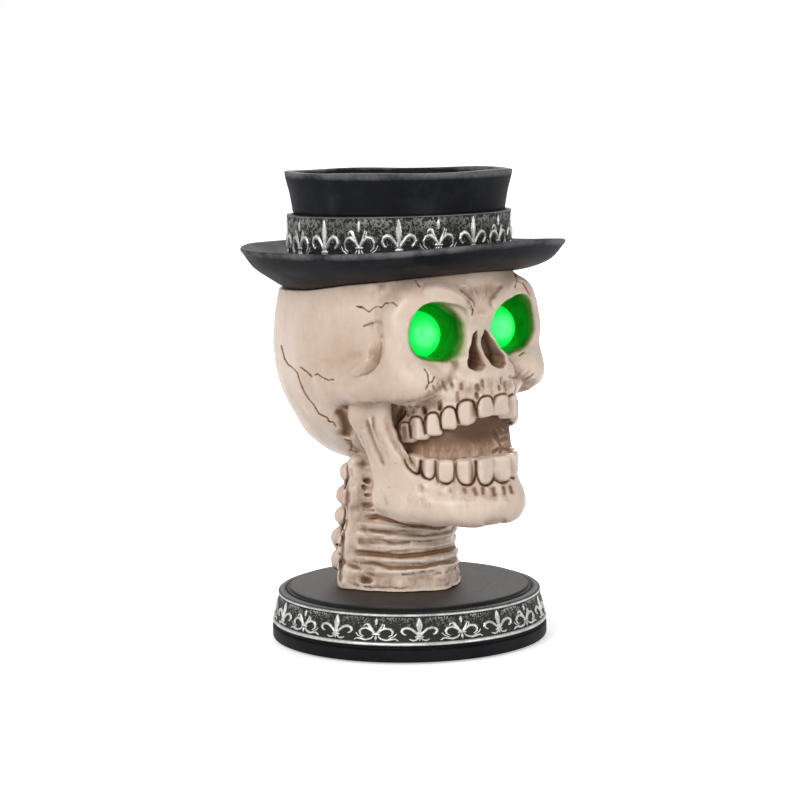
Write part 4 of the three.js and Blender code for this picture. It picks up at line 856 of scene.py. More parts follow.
def mark_neck(clay):
    clay.roughen((8, 3), (0.8, 0.35))
    clay.strokes(LOWER, FOLDS, bleed=1.4)
    clay.strokes(LOWER, RIDGES, fade=0.3)
    clay.strokes(LOWER, DOWN_CLOUDS, fade=0.1)
    clay.strokes(LOWER, ROUND_CLOUDS, fade=0.05)
    clay.stroke(LOWER(GROOVE), 2.0, 1.6, 0.3, bleed=2.2, fade=0.05)
    clay.strokes(LOWER, HOLLOWS, fade=0.4)


# Hat

# Heights, half sizes of the seam with the skull, and how far forward the middle of each part is
HAT = {
    "seat": 196.0, "cup_floor": 218, "rim": 253.4, "seam_wide": 57.0, "seam_long": 67.5,
    "seam_forward": -5.5, "brim_forward": -1.5, "crown_forward": -4.5,
}
# Seam to the edge of the brim underneath: share of the way outwards and up
UNDER_BRIM = [(0.4, 0.3), (0.76, 0.64)]
# Round the brim's edge: radius, and how far under its height
BRIM_EDGE = [(86.2, 3.4), (87.3, 2), (87.5, 1), (86.6, 0.1), (84.4, 0.9)]
# Radius and height of the crown outside, radius and drop at its rim, and radius and height in the cup
CROWN = [(56.6, 231.2), (57.2, 231.8), (57.5, 234), (58.9, 242), (60.7, 249)]
CROWN_RIM = [(61.3, 0.9), (60.8, 0.2), (59, 0), (57.4, 0.2), (56.5, 1.4)]
CUP = [(54.6, 242), (53.2, 221), (51, 218.1)]
# Rings from each of these to the next, under and over the brim, then up the crown and down into the cup
BRIM_STEPS = [1, 4, 6, 4, 2, 2, 2, 2, 4, 5, 2]
WALL_STEPS = [1, 2, 3, 4, 2, 2, 2, 2, 2, 4, 5, 3]


def seat_height(x, f):
    """Height of the seam between skull and hat; it dips a little behind the temples."""
    along, across = (f - HAT["seam_forward"]) / HAT["seam_long"], x / HAT["seam_wide"]
    behind = np.clip((np.degrees(np.arctan2(np.abs(across), along)) - 70) / 25, 0, 1)
    return HAT["seat"] + 5 * along + 1.5 * (along**2 - across**2) - 1.7 * behind


def rightness(turns):
    """From -1 where the hat shows farthest left in the photograph to 1 where it shows farthest right."""
    return np.cos(turns - math.pi / 2 + CAMERA_TURN)


def brim_height(turns):
    """Height of the brim's edge, which waves as in the photograph: up at its left, down at its right."""
    right = rightness(turns)
    wave = 4 * np.maximum(-right, 0) - 0.8 * np.maximum(right, 0) ** 3 + 0.3 * np.sin(3 * turns + 1)
    return HAT["seat"] + 17.6 + 4.3 * np.cos(turns) + 1.6 * np.cos(2 * turns) + np.sin(turns) + wave


def root_height(turns):
    return HAT["seat"] + 11.5 + 3 * np.cos(turns)


def round_turns(count):
    return np.arange(count) / count * 2 * np.pi


def ring_at(turns, radius, forward, height):
    return np.stack(np.broadcast_arrays(radius * np.sin(turns), forward + radius * np.cos(turns), height), -1)


def ring_faces(rows, count, closed=False):
    first = np.arange((rows if closed else rows - 1) * count).reshape(-1, count)
    right = np.roll(first, -1, axis=1)
    above = (first + count) % (rows * count)
    return np.stack([first, right, np.roll(above, -1, axis=1), above], -1).reshape(-1, 4).tolist()


def capped(rows, first_middle, last_middle):
    """Points and faces of a skin over rings, closed at both ends by a fan."""
    count = len(rows[0])
    last, base = len(rows) * count, (len(rows) - 1) * count
    faces = ring_faces(len(rows), count)
    faces += [[last, (i + 1) % count, i] for i in range(count)]
    faces += [[last + 1, base + i, base + (i + 1) % count] for i in range(count)]
    return np.concatenate([*rows, [first_middle, last_middle]]), faces


def make_hat():
    turns = round_turns(240)
    crown, middle, forward = HAT["crown_forward"], HAT["seam_forward"], HAT["brim_forward"]
    across, along = HAT["seam_wide"] * np.sin(turns), middle + HAT["seam_long"] * np.cos(turns)
    seam = np.stack([across, along, seat_height(across, along)], -1)
    brim = brim_height(turns) + 0.2 * np.sin(7 * turns)
    root = root_height(turns)
    tilt = 1.1 * np.cos(turns) + 1.2 * np.maximum(-rightness(turns), 0)
    top = HAT["rim"] + tilt + 0.3 * np.sin(5 * turns)
    lip = ring_at(turns, 86.6, forward, brim - 4)
    hang = 0.14 * np.maximum(rightness(turns), 0)
    under = [seam * np.array([0.86, 0.86, 1.0]), seam]
    for wide, up in UNDER_BRIM:
        under.append(seam + np.stack(np.broadcast_arrays(wide, wide, up - hang), -1) * (lip - seam))
    under += [ring_at(turns, radius, forward, brim - drop) for radius, drop in BRIM_EDGE]
    under += [ring_at(turns, 72.2, forward, (brim + 2 * root) / 3), ring_at(turns, 60.5, crown, root + 0.3),
              ring_at(turns, 56.6, crown, root)]
    wall = [ring_at(turns, radius, crown, height + tilt) for radius, height in CROWN]
    wall += [ring_at(turns, radius, crown, top - drop) for radius, drop in CROWN_RIM]
    wall += [ring_at(turns, radius, crown, height) for radius, height in CUP]
    rows = flowing(under, BRIM_STEPS) + flowing(wall, WALL_STEPS)
    points, faces = capped(rows, [0, middle, float(seat_height(0.0, middle))], [0, crown, HAT["cup_floor"]])
    # worn paint and a painted highlight on the last 2 mm of the rim and at the brim's edge, brown dust up to
    # 7 mm over the seam
    x, f, z = points.T
    radius = np.hypot(x, f - crown)
    rim = np.clip((z - 251.2) / 1.2, 0, 1) * (radius > 55)
    edge = np.clip(1 - (87.6 - np.hypot(x, f - forward)) / 2.4, 0, 1)
    dust = np.clip(1 - (z - seat_height(x, f)) / 7, 0, 1) * (radius > 45)
    hat = mesh_object("hat", points, faces, {"worn_and_edge_highlight": np.maximum(rim, edge * 0.9), "dust": dust})
    finish_piece(hat, ["hat_casting"], "hat")


# Relief: strokes of two lilies, in mm from the middle of each one's foot: side, height, radius

TILE = {"width": 41.9, "height": 16.4, "step": 0.15}


def mirrored(path):
    return [path, [(-x, y, r) for x, y, r in path]]


SPEAR_LILY = [
    [(0, 16.2, 0.3), (0, 13.8, 1.15), (0, 11, 1.75), (0, 7.6, 1.1), (0, 4.2, 0.55)],
    *mirrored([(0.3, 3.6, 0.5), (1.9, 6.3, 0.8), (3.9, 8.5, 0.95), (6.0, 9.3, 1.05), (7.9, 8.6, 0.95),
               (8.6, 6.8, 0.75), (7.8, 5.2, 0.6), (6.9, 4.8, 0.65)]),
    [(-1.7, 3.3, 0.6), (0, 3.3, 0.85), (1.7, 3.3, 0.6)],
    *mirrored([(0.7, 2.7, 0.4), (1.6, 1.2, 0.6), (3.2, 0.8, 0.7), (4.6, 1.6, 0.45)]),
    [(0, 2.6, 0.5), (0, 0.9, 0.45)],
]
LOOP_LILY = [
    [(0, 15.6, 0.25), (0, 13.7, 0.85), (0, 11.4, 0.5)],
    *mirrored([(0.3, 5.4, 0.4), (1.8, 8.0, 0.5), (3.4, 11.6, 0.35)]),
    [(-0.4, 5.6, 0.4), (-2.9, 9.2, 0.75), (-4.4, 11.5, 0.65), (-5.7, 11.0, 0.5), (-6.1, 9.9, 0.35)],
    [(2.4, 6.6, 0.3), (3.8, 9.4, 0.45), (4.2, 11.3, 0.3)],
    *mirrored([(0.6, 4.9, 0.5), (2.3, 7.3, 0.75), (4.7, 8.9, 0.85), (7.0, 8.4, 0.75), (8.2, 6.6, 0.65),
               (7.9, 4.5, 0.5), (6.2, 3.2, 0.4)]),
    [(-1.7, 4.7, 0.55), (1.9, 4.7, 0.55)],
    *mirrored([(1.2, 3.6, 0.4), (2.4, 1.9, 0.65), (4.9, 1.0, 0.85), (7.6, 1.6, 0.8), (9.4, 1.9, 0.6),
               (10.7, 0.6, 0.4)]),
    *mirrored([(6.8, 2.4, 0.35), (9.0, 3.6, 0.4), (10.1, 5.4, 0.3)]),
    [(0, 3.7, 0.4), (0, 2.2, 0.75), (0, 0.4, 0.3)],
]


def relief_tile(crawl, beads):
    """Height in mm of one pair of lilies over a ground of small raised curls."""
    across = np.arange(0, TILE["width"], TILE["step"])
    up = np.arange(0, TILE["height"] + TILE["step"], TILE["step"])
    x, y = np.meshgrid(across, up, indexing="ij")
    height = np.zeros_like(x)

    def raise_path(path, shift, tall):
        path = np.array(path, float)
        for offset in (-TILE["width"], 0, TILE["width"]):
            for (ax, ay, ar), (bx, by, br) in zip(path[:-1], path[1:]):
                ax, bx = ax + shift + offset, bx + shift + offset
                if max(ax, bx) < -2 or min(ax, bx) > TILE["width"] + 2:
                    continue
                away, share = to_segment(x, y, (ax, ay), (bx, by))
                wide = ar + share * (br - ar)
                swell = np.sqrt(np.clip(1 - away / wide**2, 0, 1)) * np.clip(0.35 + wide / 1.1, 0, 1)
                np.maximum(height, tall * swell, out=height)

    for shift, lily in ((TILE["width"] / 4, SPEAR_LILY), (TILE["width"] * 3 / 4, LOOP_LILY)):
        for path in lily:
            raise_path(path, shift, 1.05)
    figure = height.copy()
    room = np.random.default_rng(7)
    for _ in range(crawl):
        sx, sy = room.uniform(0, TILE["width"]), room.beta(2.8, 1.1) * TILE["height"]
        way, bend = room.uniform(0, 2 * np.pi), room.uniform(-1.3, 1.3)
        path = [(sx, sy, 0.2)]
        for _ in range(3):
            sx, sy, way = sx + 0.62 * math.cos(way), sy + 0.62 * math.sin(way), way + bend
            path.append((sx, sy, 0.26))
        raise_path(path, 0, 0.62)
    for k in range(beads):
        centre = TILE["width"] * (0.5 + (k - beads / 2) / beads / 4.2)
        for side in (0, TILE["width"] / 2):
            raise_path([(centre + side, 15.2, 0.42), (centre + side + 0.05, 15.7, 0.42)], 0, 0.8)
    return height, figure


def tile_value(tile, turns_share, up_share):
    """Relief at shares of the way along one period and up the field."""
    columns, rows = tile.shape
    a = (turns_share % 1) * columns
    b = np.clip(up_share, 0, 1) * (rows - 1.001)
    i, j = np.floor(a).astype(int), np.floor(b).astype(int)
    u, v = a - i, b - j
    right = (i + 1) % columns
    i = i % columns
    return ((1 - u) * (1 - v) * tile[i, j] + u * (1 - v) * tile[right, j]
            + (1 - u) * v * tile[i, j + 1] + u * v * tile[right, j + 1])


def relief_ring(name, node, periods, profile, field_rows, tiles, forward):
    """A ring whose profile is rows of radius, height, way up the field (or None) and how silver it is."""
    turns = round_turns(periods * (110))
    along = turns / (2 * np.pi) * periods + 0.25
    relief, figure = tiles
    rows, raised, figures = [], [], []
    for radius, height, up, shine in profile(turns, field_rows):
        lift, shown, high = 0, shine, shine
        if up is not None:
            lift, shown = tile_value(relief, along, up), tile_value(figure, along, up)
            high = np.clip(lift / 0.55, 0, 1)
        rows.append(ring_at(turns, radius + lift, forward, height))
        raised.append(np.broadcast_to(high, len(turns)))
        figures.append(np.broadcast_to(shown, len(turns)))
    thing = mesh_object(name, np.concatenate(rows), ring_faces(len(rows), len(turns), closed=True),
                        {"raised": np.concatenate(raised), "figure": np.concatenate(figures)})
    finish_piece(thing, [node], "silver")


# Edges of the bands: radius, height (on the hat, how far under the top edge), how silver
HAT_BAND_TOP = [(60.2, 1.0, 0.3), (60.5, 0.7, 0.6), (60.5, 0.2, 0.3), (60.0, 0.0, 0.1), (56.9, 0.0, 0)]
BASE_BAND_FOOT = [
    (70.4, 9.6, 0), (74.4, 9.6, 0), (74.9, 9.9, 0.4), (75.0, 10.5, 0.95), (74.7, 11.2, 0.8),
    (74.1, 11.7, 0.45), (73.6, 11.9, 0.2),
]
BASE_BAND_TOP = [
    (70.9, 24.6, 0.3), (71.5, 24.8, 0.7), (71.75, 25.3, 1.0), (71.5, 26.0, 0.5), (70.9, 26.5, 0.2),
    (70.2, 26.6, 0), (67.4, 26.6, 0),
]
BASE_FIELD = {"radius": 73.55, "lean": 2.9, "foot": 12.0, "tall": 12.5}


def hat_band_profile(turns, count):
    # its foot lies on the brim, a little way out from the crown, where the brim has begun to rise
    root, lift, way_out, run = root_height(turns), 0.4, 3.5, 15.45
    low = root + lift + way_out * (brim_height(turns) - root) / 3 / run
    high = 231.6 + 1.1 * np.cos(turns)
    yield 56.9, low, None, 0
    yield 60.0, low, None, 0
    for up in np.linspace(0, 1, count):
        yield 60.1, low + up * (high - 1.1 - low), up, 0
    for radius, below, shine in HAT_BAND_TOP:
        yield radius, high - below, None, shine


def base_band_profile(_, count):
    for radius, height, shine in BASE_BAND_FOOT:
        yield radius, height, None, shine
    for up in np.linspace(0, 1, count):
        radius = BASE_FIELD["radius"] - BASE_FIELD["lean"] * up
        yield radius, BASE_FIELD["foot"] + BASE_FIELD["tall"] * up, up, 0
    for radius, height, shine in BASE_BAND_TOP:
        yield radius, height, None, shine


def make_bands():
    rows = 68
    crown = HAT["crown_forward"]
    relief_ring("hat_band", "hat_relief_band", 9, hat_band_profile, rows, relief_tile(430, 0), crown)
    relief_ring("base_band", "base_relief_band", 10, base_band_profile, rows, relief_tile(210, 7), 0.0)


# Plinth: a smooth turned body with the pocket for the battery box and the switch cut from below

# Radius and height, from the foot to the middle of the top
PLINTH_OUTLINE = [
    (73.9, 0.9), (74.6, 1.15), (74.95, 1.8), (75.0, 2.6), (75.0, 6.9), (74.8, 7.3), (74.2, 7.6), (73.4, 8.0),
    (73.2, 8.5), (73.2, 9.3), (70.1, 9.3), (67.1, 26.7), (66.7, 27.2), (65.6, 27.3), (65.3, 27.45),
    (65.25, 28.1), (65.0, 28.5), (64.5, 28.6), (60, 28.6), (45, 28.6), (20, 28.6),
]


def cutter_mesh(shape):
    mesh = bpy.data.meshes.new("cutter")
    shape.to_mesh(mesh)
    shape.free()
    return mesh


def block_cutter(low, high):
    shape = bmesh.new()
    bmesh.ops.create_cube(shape, size=1)
    for vertex in shape.verts:
        vertex.co = Vector([(low[i] + high[i]) / 2 + vertex.co[i] * (high[i] - low[i]) for i in range(3)])
    return cutter_mesh(shape)


def bar_cutter(x, y, radius, low, high):
    shape = bmesh.new()
    place = Matrix.Translation((x, y, (low + high) / 2))
    bmesh.ops.create_cone(shape, cap_ends=True, segments=48, radius1=radius, radius2=radius, depth=high - low,
                          matrix=place)
    return cutter_mesh(shape)


def pocket_cutters():
    gap, under = 0.3 * MM, -3 * MM
    cutters = []
    for nodes in (("battery_tray", "battery_door"), ("switch_body",)):
        boxes = [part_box(node) for node in nodes]
        low = [min(box[0][i] for box in boxes) - gap for i in range(3)]
        high = [max(box[1][i] for box in boxes) + gap for i in range(3)]
        cutters.append(block_cutter((low[0], low[1], under), high))
    for number in (1, 2, 3, 4):
        low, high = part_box("foot_pad_%d" % number)
        middle = [(low[i] + high[i]) / 2 for i in range(2)]
        cutters.append(bar_cutter(*middle, (high[0] - low[0]) / 2 + gap, under, 1.5 * MM))
    # the way of the leads up into the neck
    cutters.append(bar_cutter(0, 8 * MM, 5 * MM, 9 * MM, 32 * MM))
    return cutters


def make_plinth():
    turns = round_turns(180)
    rows = [ring_at(turns, radius, 0.0, height) for radius, height in PLINTH_OUTLINE]
    foot, top = PLINTH_OUTLINE[0][1], PLINTH_OUTLINE[-1][1]
    plinth = mesh_object("plinth", *capped(rows, [0, 0, foot], [0, 0, top]))
    for mesh in pocket_cutters():
        cutter = bpy.data.objects.new("cutter", mesh)
        bpy.context.scene.collection.objects.link(cutter)
        cut = plinth.modifiers.new("pocket", "BOOLEAN")
        cut.operation, cut.solver, cut.object = "DIFFERENCE", "EXACT", cutter
        shaped = bpy.data.meshes.new_from_object(plinth.evaluated_get(bpy.context.evaluated_depsgraph_get()))
        plinth.modifiers.clear()
        plinth.data = shaped
        bpy.data.objects.remove(cutter)
    plinth.data.set_sharp_from_angle(angle=math.radians(35))
    finish_piece(plinth, ["base_plinth"], "plinth")


# Lit domes


def make_domes():
    reach, wall = DOME["radius"], 1.6
    turns = round_turns(96)
    angles = np.linspace(0.01, math.radians(112), 28)
    rows = []
    for skin, way in ((reach, angles), (reach - wall, angles[::-1])):
        for angle in way:
            radius, along = skin * math.sin(angle), skin * math.cos(angle)
            ring = (radius * np.sin(turns), along, radius * np.cos(turns))
            rows.append(np.stack(np.broadcast_arrays(*ring), -1))
    local = np.concatenate(rows)
    # brightest where it faces forward and a little to the skull's right
    lit = np.array([-0.27, 0.95, 0.1])
    lit /= np.linalg.norm(lit)
    bright = np.clip((local @ lit / reach - 0.5) / 0.5, 0, 1)
    faces = ring_faces(len(rows), len(turns), closed=True)
    for side, name in ((-1, "right"), (1, "left")):
        points = local + np.array([side * DOME["side"], DOME["forward"], DOME["height"]])
        dome = mesh_object("dome_" + name, points, faces, {"bright": bright})
        finish_piece(dome, ["eye_dome_" + name], "glow")


# Materials


def linear(red, green, blue):
    """A colour read as 0 to 255 on screen, as linear light."""
    values = [v / 255 for v in (red, green, blue)]
    return tuple(v / 12.92 if v <= 0.04045 else ((v + 0.055) / 1.055) ** 2.4 for v in values) + (1.0,)


class Nodes:
    """Short ways to add and link shader nodes."""

    def __init__(self, tree):
        self.tree = tree

    def add(self, kind, settings=None, **inputs):
        node = self.tree.nodes.new(kind)
        for key, value in (settings or {}).items():
            setattr(node, key, value)
        self.fill(node, **inputs)
        return node

    def fill(self, node, **inputs):
        """Links or sets inputs by name, with _ for a space."""
        for key, value in inputs.items():
            self.put(node.inputs[key.replace("_", " ")], value)

    def put(self, socket, value):
        if isinstance(value, bpy.types.NodeSocket):
            self.tree.links.new(value, socket)
        else:
            socket.default_value = value

    def attribute(self, name):
        return self.add("ShaderNodeAttribute", {"attribute_name": name}).outputs["Fac"]

    def place(self):
        return self.add("ShaderNodeTexCoord").outputs["Object"]

    def noise(self, scale, detail, rough=0.55, stretch=(1, 1, 1), where=None):
        vector = self.add("ShaderNodeMapping", Vector=where or self.place(), Scale=stretch).outputs["Vector"]
        noise = self.add("ShaderNodeTexNoise", Vector=vector, Scale=scale, Detail=detail, Roughness=rough)
        return noise.outputs["Fac"]

    def ramp(self, value, low, high, start=0.0, end=1.0):
        ends = {"From_Min": low, "From_Max": high, "To_Min": start, "To_Max": end}
        return self.add("ShaderNodeMapRange", Value=value, **ends).outputs["Result"]

    def shows_background(self):
        """1 for the rays that show the background: seen straight, mirrored or through glass."""
        ray = self.add("ShaderNodeLightPath").outputs
        mirrored_ray = self.math("MAXIMUM", ray["Is Glossy Ray"], ray["Is Transmission Ray"])
        return self.math("MAXIMUM", ray["Is Camera Ray"], mirrored_ray)

    def math(self, operation, a, b):
        node = self.add("ShaderNodeMath", {"operation": operation})
        self.put(node.inputs[0], a)
        self.put(node.inputs[1], b)
        return node.outputs["Value"]

    def mix(self, share, first, second):
        node = self.add("ShaderNodeMix", {"data_type": "RGBA"}, Factor=share)
        self.put(node.inputs[6], first)
        self.put(node.inputs[7], second)
        return node.outputs[2]

    def bump(self, height, strength, distance, normal=None):
        node = self.add("ShaderNodeBump", Height=height, Strength=strength, Distance=distance)
        if normal is not None:
            self.put(node.inputs["Normal"], normal)
        return node.outputs["Normal"]

    def round_axis(self):
        """A place as turn round the upright, distance from it and height, for streaks that run round."""
        parts = self.add("ShaderNodeSeparateXYZ", Vector=self.place())
        x, y, z = (parts.outputs[axis] for axis in "XYZ")
        squares = self.math("ADD", self.math("MULTIPLY", x, x), self.math("MULTIPLY", y, y))
        away, turn = self.math("SQRT", squares, 0.0), self.math("ARCTAN2", x, y)
        return self.add("ShaderNodeCombineXYZ", X=turn, Y=away, Z=z).outputs["Vector"]


def new_material(name):
    material = bpy.data.materials.new(name)
    material.use_nodes = True
    material.node_tree.nodes.clear()
    n = Nodes(material.node_tree)
    shader = n.add("ShaderNodeBsdfPrincipled")
    n.add("ShaderNodeOutputMaterial", Surface=shader.outputs["BSDF"])
    return material, n, shader


def bone_material():
    material, n, shader = new_material("bone")
    blotch, cloud, speck = n.noise(26, 5), n.noise(9, 3), n.noise(900, 2)
    grain = n.noise(160, 5, 0.7, (1, 1, 0.45))
    base = n.mix(n.ramp(blotch, 0.38, 0.66), linear(210, 191, 175), linear(190, 168, 150))
    base = n.mix(n.ramp(cloud, 0.42, 0.68, 0, 0.45), base, linear(199, 173, 156))
    base = n.mix(n.ramp(grain, 0.45, 0.72, 0, 0.3), base, linear(172, 148, 126))
    # brown wash and painted shade in the hollows, in the creases and where the strokes put it
    hollow = n.math("MULTIPLY", n.ramp(n.attribute("broad"), 0.0, 1.1), n.ramp(blotch, 0.25, 0.7, 0.4, 0.92))
    crease = n.math("MULTIPLY", n.ramp(n.attribute("fine"), 0.03, 0.36), n.ramp(grain, 0.3, 0.65, 0.5, 0.92))
    creased = n.mix(crease, n.mix(hollow, base, linear(148, 115, 88)), linear(98, 71, 50))
    wash_and_shade = n.math("ADD", n.attribute("wash_and_shade"), n.ramp(grain, 0.35, 0.65, -0.14, 0.14))
    ink_and_shade = n.ramp(wash_and_shade, 0.12, 0.62)
    inked_and_shaded = n.mix(n.math("MULTIPLY", ink_and_shade, 0.88), creased, linear(116, 80, 51))
    # near black where the marks are strongest, in cracks, gaps and deep recesses: painted shade with dark
    # wash
    deep = n.mix(n.ramp(n.attribute("wash_and_shade"), 0.62, 0.95), inked_and_shaded, linear(38, 27, 20))
    pale = n.mix(n.ramp(n.attribute("fine"), -0.05, -0.42, 0, 0.5), deep, linear(226, 211, 197))
    # painted green light from the domes on the sockets: deep green all over, fading through olive over a
    # speckled edge, and a painted glow given off by the bone there
    speckled = n.math("MULTIPLY", n.attribute("socket"), n.ramp(grain, 0.3, 0.7, 0.6, 1.4))
    socket = n.ramp(speckled, 0.25, 0.8)
    olive = n.mix(n.ramp(speckled, 0.02, 0.4), pale, linear(112, 122, 66))
    near_dome = n.ramp(n.attribute("glow"), 0.1, 0.8)
    green = n.mix(near_dome, linear(10, 66, 6), linear(2, 128, 10))
    green = n.mix(n.ramp(grain, 0.46, 0.66, 0, 0.55), green, linear(6, 52, 6))
    n.fill(
        shader,
        Base_Color=n.mix(socket, olive, green),
        Roughness=n.math("MAXIMUM", n.ramp(blotch, 0.3, 0.7, 0.3, 0.43), n.ramp(ink_and_shade, 0, 1, 0.3, 0.8)),
        Specular_IOR_Level=0.42,
        Normal=n.bump(grain, 0.22, 0.0005, n.bump(speck, 0.1, 0.0003)),
        Emission_Color=green,
        Emission_Strength=n.math("MULTIPLY", socket, n.ramp(near_dome, 0, 1, 0.3, 0.55)),
    )
    return material


def glow_material():
    material, n, shader = new_material("glow")
    bright = n.attribute("bright")
    colour = n.mix(n.ramp(bright, 0.0, 0.75), linear(0, 238, 70), linear(30, 252, 100))
    n.fill(
        shader,
        Base_Color=linear(10, 60, 25),
        Roughness=n.ramp(n.noise(700, 3), 0.3, 0.7, 0.25, 0.4),
        Emission_Color=n.mix(n.ramp(bright, 0.6, 1.0), colour, linear(62, 244, 134)),
        Emission_Strength=0.97,
    )
    return material


def hat_material():
    material, n, shader = new_material("hat")
    blotch, mist, grain = n.noise(14, 4), n.noise(45, 5, 0.65), n.noise(420, 4, 0.7)
    base = n.mix(n.ramp(blotch, 0.35, 0.7), linear(12, 12, 14), linear(30, 31, 35))
    base = n.mix(n.ramp(mist, 0.52, 0.75, 0, 0.4), base, linear(58, 60, 65))
    # lighter grey at the rim and the brim's edge: worn paint and a painted highlight
    worn_and_edge_highlight = n.math("MULTIPLY", n.attribute("worn_and_edge_highlight"), n.ramp(mist, 0.3, 0.62, 0.1, 1.0))
    base = n.mix(n.ramp(worn_and_edge_highlight, 0.15, 0.8, 0, 0.75), base, linear(112, 113, 115))
    dust = n.math("MULTIPLY", n.attribute("dust"), n.ramp(mist, 0.4, 0.65, 0.1, 0.5))
    n.fill(
        shader,
        Base_Color=n.mix(dust, base, linear(84, 67, 54)),
        Roughness=n.ramp(mist, 0.3, 0.7, 0.55, 0.72),
        Specular_IOR_Level=0.06,
        Normal=n.bump(grain, 0.12, 0.0003, n.bump(mist, 0.2, 0.0014)),
    )
    return material


def plinth_material():
    material, n, shader = new_material("plinth")
    round_way = n.round_axis()
    streak = n.noise(1, 5, 0.6, (3, 900, 60), round_way)
    parts = n.add("ShaderNodeSeparateXYZ", Vector=round_way).outputs
    near_neck, top = n.ramp(parts["Y"], 0.062, 0.036), n.ramp(parts["Z"], 0.0272, 0.0285)
    dark = n.mix(n.ramp(n.noise(22, 4), 0.35, 0.7), linear(12, 12, 14), linear(26, 27, 30))
    upper = n.mix(n.ramp(streak, 0.3, 0.7), linear(44, 42, 42), linear(76, 73, 71))
    upper = n.mix(n.math("MULTIPLY", near_neck, 0.6), upper, linear(62, 53, 47))
    n.fill(
        shader,
        Base_Color=n.mix(n.ramp(streak, 0.6, 0.85, 0, 0.25), n.mix(top, dark, upper), linear(100, 98, 96)),
        Roughness=n.ramp(streak, 0.3, 0.7, 0.55, 0.7),
        Specular_IOR_Level=0.1,
        Normal=n.bump(streak, 0.07, 0.0003),
    )
    return material


def silver_material():
    material, n, shader = new_material("silver")
    rub, grit = n.noise(70, 4, 0.65), n.noise(900, 3)
    raised, figure = n.attribute("raised"), n.ramp(n.attribute("figure"), 0.1, 0.5)
    ground = n.mix(n.ramp(rub, 0.3, 0.7), linear(5, 5, 6), linear(18, 17, 17))
    bright = n.mix(n.ramp(rub, 0.3, 0.7), linear(150, 149, 146), linear(226, 225, 221))
    patch = n.ramp(n.noise(38, 3), 0.36, 0.6, 0.15, 0.72)
    cover = n.math("MULTIPLY", n.ramp(raised, 0.32, 0.86), n.math("MAXIMUM", figure, patch))
    cover = n.math("MULTIPLY", cover, n.ramp(grit, 0.25, 0.5, 0.6, 1.0))
    n.fill(
        shader,
        Base_Color=n.mix(cover, ground, bright),
        Metallic=n.ramp(cover, 0.2, 0.9, 0.0, 0.6),
        Roughness=n.ramp(cover, 0.1, 0.8, 0.6, 0.32),
        Specular_IOR_Level=0.3,
        Normal=n.bump(grit, 0.14, 0.0002),
    )
    return material


def plain_material(name, colour, roughness, metallic=0.0, grain=300, bumps=0.1, shine=None):
    material, n, shader = new_material(name)
    tone = n.noise(grain, 3)
    darker = tuple(c * 0.82 for c in colour[:3]) + (1.0,)
    n.fill(
        shader,
        Base_Color=n.mix(n.ramp(tone, 0.3, 0.7), colour, darker),
        Metallic=metallic,
        Roughness=n.ramp(tone, 0.3, 0.7, roughness - 0.05, roughness + 0.05),
        Normal=n.bump(tone, bumps, 0.0003),
    )
    if shine:
        n.fill(shader, Emission_Color=shine, Emission_Strength=0.8)
    return material


# Pieces whose CAD shape is right already: only their material is new
KEPT = {
    "plastic": ["battery_tray", "battery_door", "switch_body", "switch_slider",
                "eye_seat_right", "eye_seat_left"],
    "steel": ["hinge_pin", "door_screw", "contact_plate_1", "contact_plate_2", "contact_plate_3",
              "contact_spring_1", "contact_spring_2", "contact_spring_3"],
    "wire": ["battery_lead", "led_lead_right", "led_lead_left"],
    "cell": ["battery_cell_1", "battery_cell_2", "battery_cell_3"],
    "pad": ["foot_pad_1", "foot_pad_2", "foot_pad_3", "foot_pad_4"],
    "diode": ["led_right", "led_left"],
}


def dress_kept():
    for key, names in KEPT.items():
        for name in names:
            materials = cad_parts[name].data.materials
            materials.clear()
            materials.append(MATERIALS[key])


def make_materials():
    plain = plain_material
    return {
        "bone": bone_material(),
        "glow": glow_material(),
        "hat": hat_material(),
        "plinth": plinth_material(),
        "silver": silver_material(),
        "plastic": plain("plastic", linear(26, 27, 29), 0.55, grain=1500, bumps=0.35),
        "steel": plain("steel", linear(188, 190, 192), 0.3, 1.0, grain=260, bumps=0.05),
        "wire": plain("wire", linear(150, 20, 20), 0.42, grain=500),
        "cell": plain("cell", linear(96, 102, 108), 0.35, 0.4, grain=120, bumps=0.03),
        "pad": plain("pad", linear(38, 38, 38), 0.9, grain=2600, bumps=0.6),
        "diode": plain("diode", linear(40, 200, 90), 0.25, grain=400, bumps=0.02, shine=linear(40, 255, 110)),
    }


# Camera, floor and lights


def make_camera():
    data = bpy.data.cameras.new("camera")
    data.sensor_width = SENSOR
    data.lens = FOCAL_PIXELS / FRAME_PIXELS * SENSOR
    data.shift_x = -CENTRE_SHIFT_PIXELS / FRAME_PIXELS
    camera = bpy.data.objects.new("camera", data)
    bpy.context.scene.collection.objects.link(camera)
    place = Vector((-math.sin(CAMERA_TURN), -math.cos(CAMERA_TURN), 0)) * CAMERA_DISTANCE * MM
    place.z = CAMERA_HEIGHT * MM
    turn = Matrix.Rotation(-CAMERA_TURN, 4, "Z") @ Matrix.Rotation(math.pi / 2 - CAMERA_PITCH, 4, "X")
    camera.matrix_world = Matrix.Translation(place) @ turn @ Matrix.Rotation(-CAMERA_ROLL, 4, "Z")
    bpy.context.scene.camera = camera


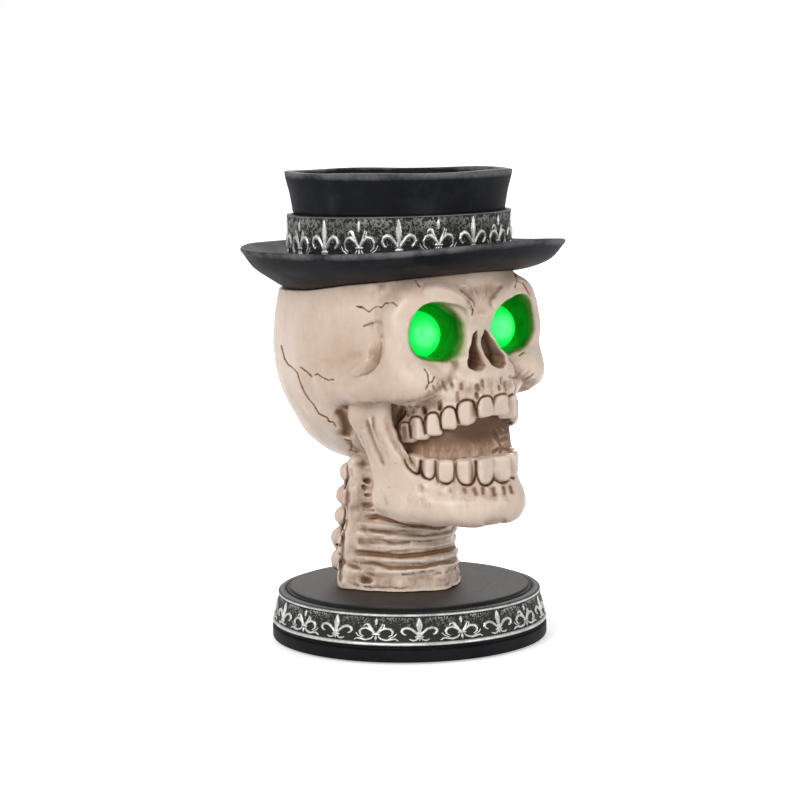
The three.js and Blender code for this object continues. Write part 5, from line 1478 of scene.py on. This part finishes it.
def make_floor():
    """A pale floor that takes the object's soft shadow near it and shows as plain white farther off."""
    size = 6.0
    mesh = bpy.data.meshes.new("floor")
    corners = [(x * size, y * size, 0) for x, y in ((-1, -1), (1, -1), (1, 1), (-1, 1))]
    mesh.from_pydata(corners, [], [(0, 1, 2, 3)])
    floor = bpy.data.objects.new("floor", mesh)
    bpy.context.scene.collection.objects.link(floor)
    material, n, shader = new_material("floor")
    away = n.add("ShaderNodeVectorMath", {"operation": "LENGTH"}, Vector=n.place()).outputs["Value"]
    far = n.ramp(away, 0.085, 0.2)
    n.fill(
        shader,
        Base_Color=(0.72, 0.72, 0.72, 1),
        Roughness=1.0,
        Specular_IOR_Level=0.0,
        Emission_Color=(1, 1, 1, 1),
        Emission_Strength=n.math("MULTIPLY", n.shows_background(), n.ramp(far, 0, 1, 0.46, 1.0)),
    )
    # seen from below, the floor lets the underside of the object show
    either = n.add("ShaderNodeMixShader")
    backside = n.add("ShaderNodeNewGeometry").outputs["Backfacing"]
    clear = n.add("ShaderNodeBsdfTransparent").outputs["BSDF"]
    for socket, value in zip(either.inputs, (backside, shader.outputs["BSDF"], clear)):
        n.put(socket, value)
    n.fill(n.tree.nodes["Material Output"], Surface=either.outputs["Shader"])
    mesh.materials.append(material)


# Lamps: place, size in m, watts
LAMPS = {
    "key": ((-1.5, -0.5, 1.1), 0.8, 18),
    "fill": ((0.6, -1.6, 0.5), 1.0, 7.5),
    "rim": ((0.8, 1.0, 0.9), 0.8, 10),
    "gleam": ((-1.0, -1.3, 0.9), 0.2, 3.4),
}
AIM = (0, 0, 0.14)


def make_lights():
    world = bpy.data.worlds.new("world")
    world.use_nodes = True
    n = Nodes(world.node_tree)
    strength = n.ramp(n.shows_background(), 0, 1, 0.5, 1.0)
    n.fill(world.node_tree.nodes["Background"], Color=(1, 1, 1, 1), Strength=strength)
    bpy.context.scene.world = world
    for name, (place, size, watts) in LAMPS.items():
        data = bpy.data.lights.new(name, "AREA")
        data.size, data.energy = size, watts
        light = bpy.data.objects.new(name, data)
        bpy.context.scene.collection.objects.link(light)
        light.location = place
        light.rotation_euler = (Vector(AIM) - Vector(place)).to_track_quat("-Z", "Y").to_euler()


bpy.context.scene.view_settings.view_transform = "Standard"
MATERIALS = make_materials()
make_camera()
make_floor()
make_lights()
cast("skull", skull_form())
cast("jaw", jaw_form())
cast("neck", neck_form())
make_domes()
make_hat()
make_bands()
make_plinth()
dress_kept()
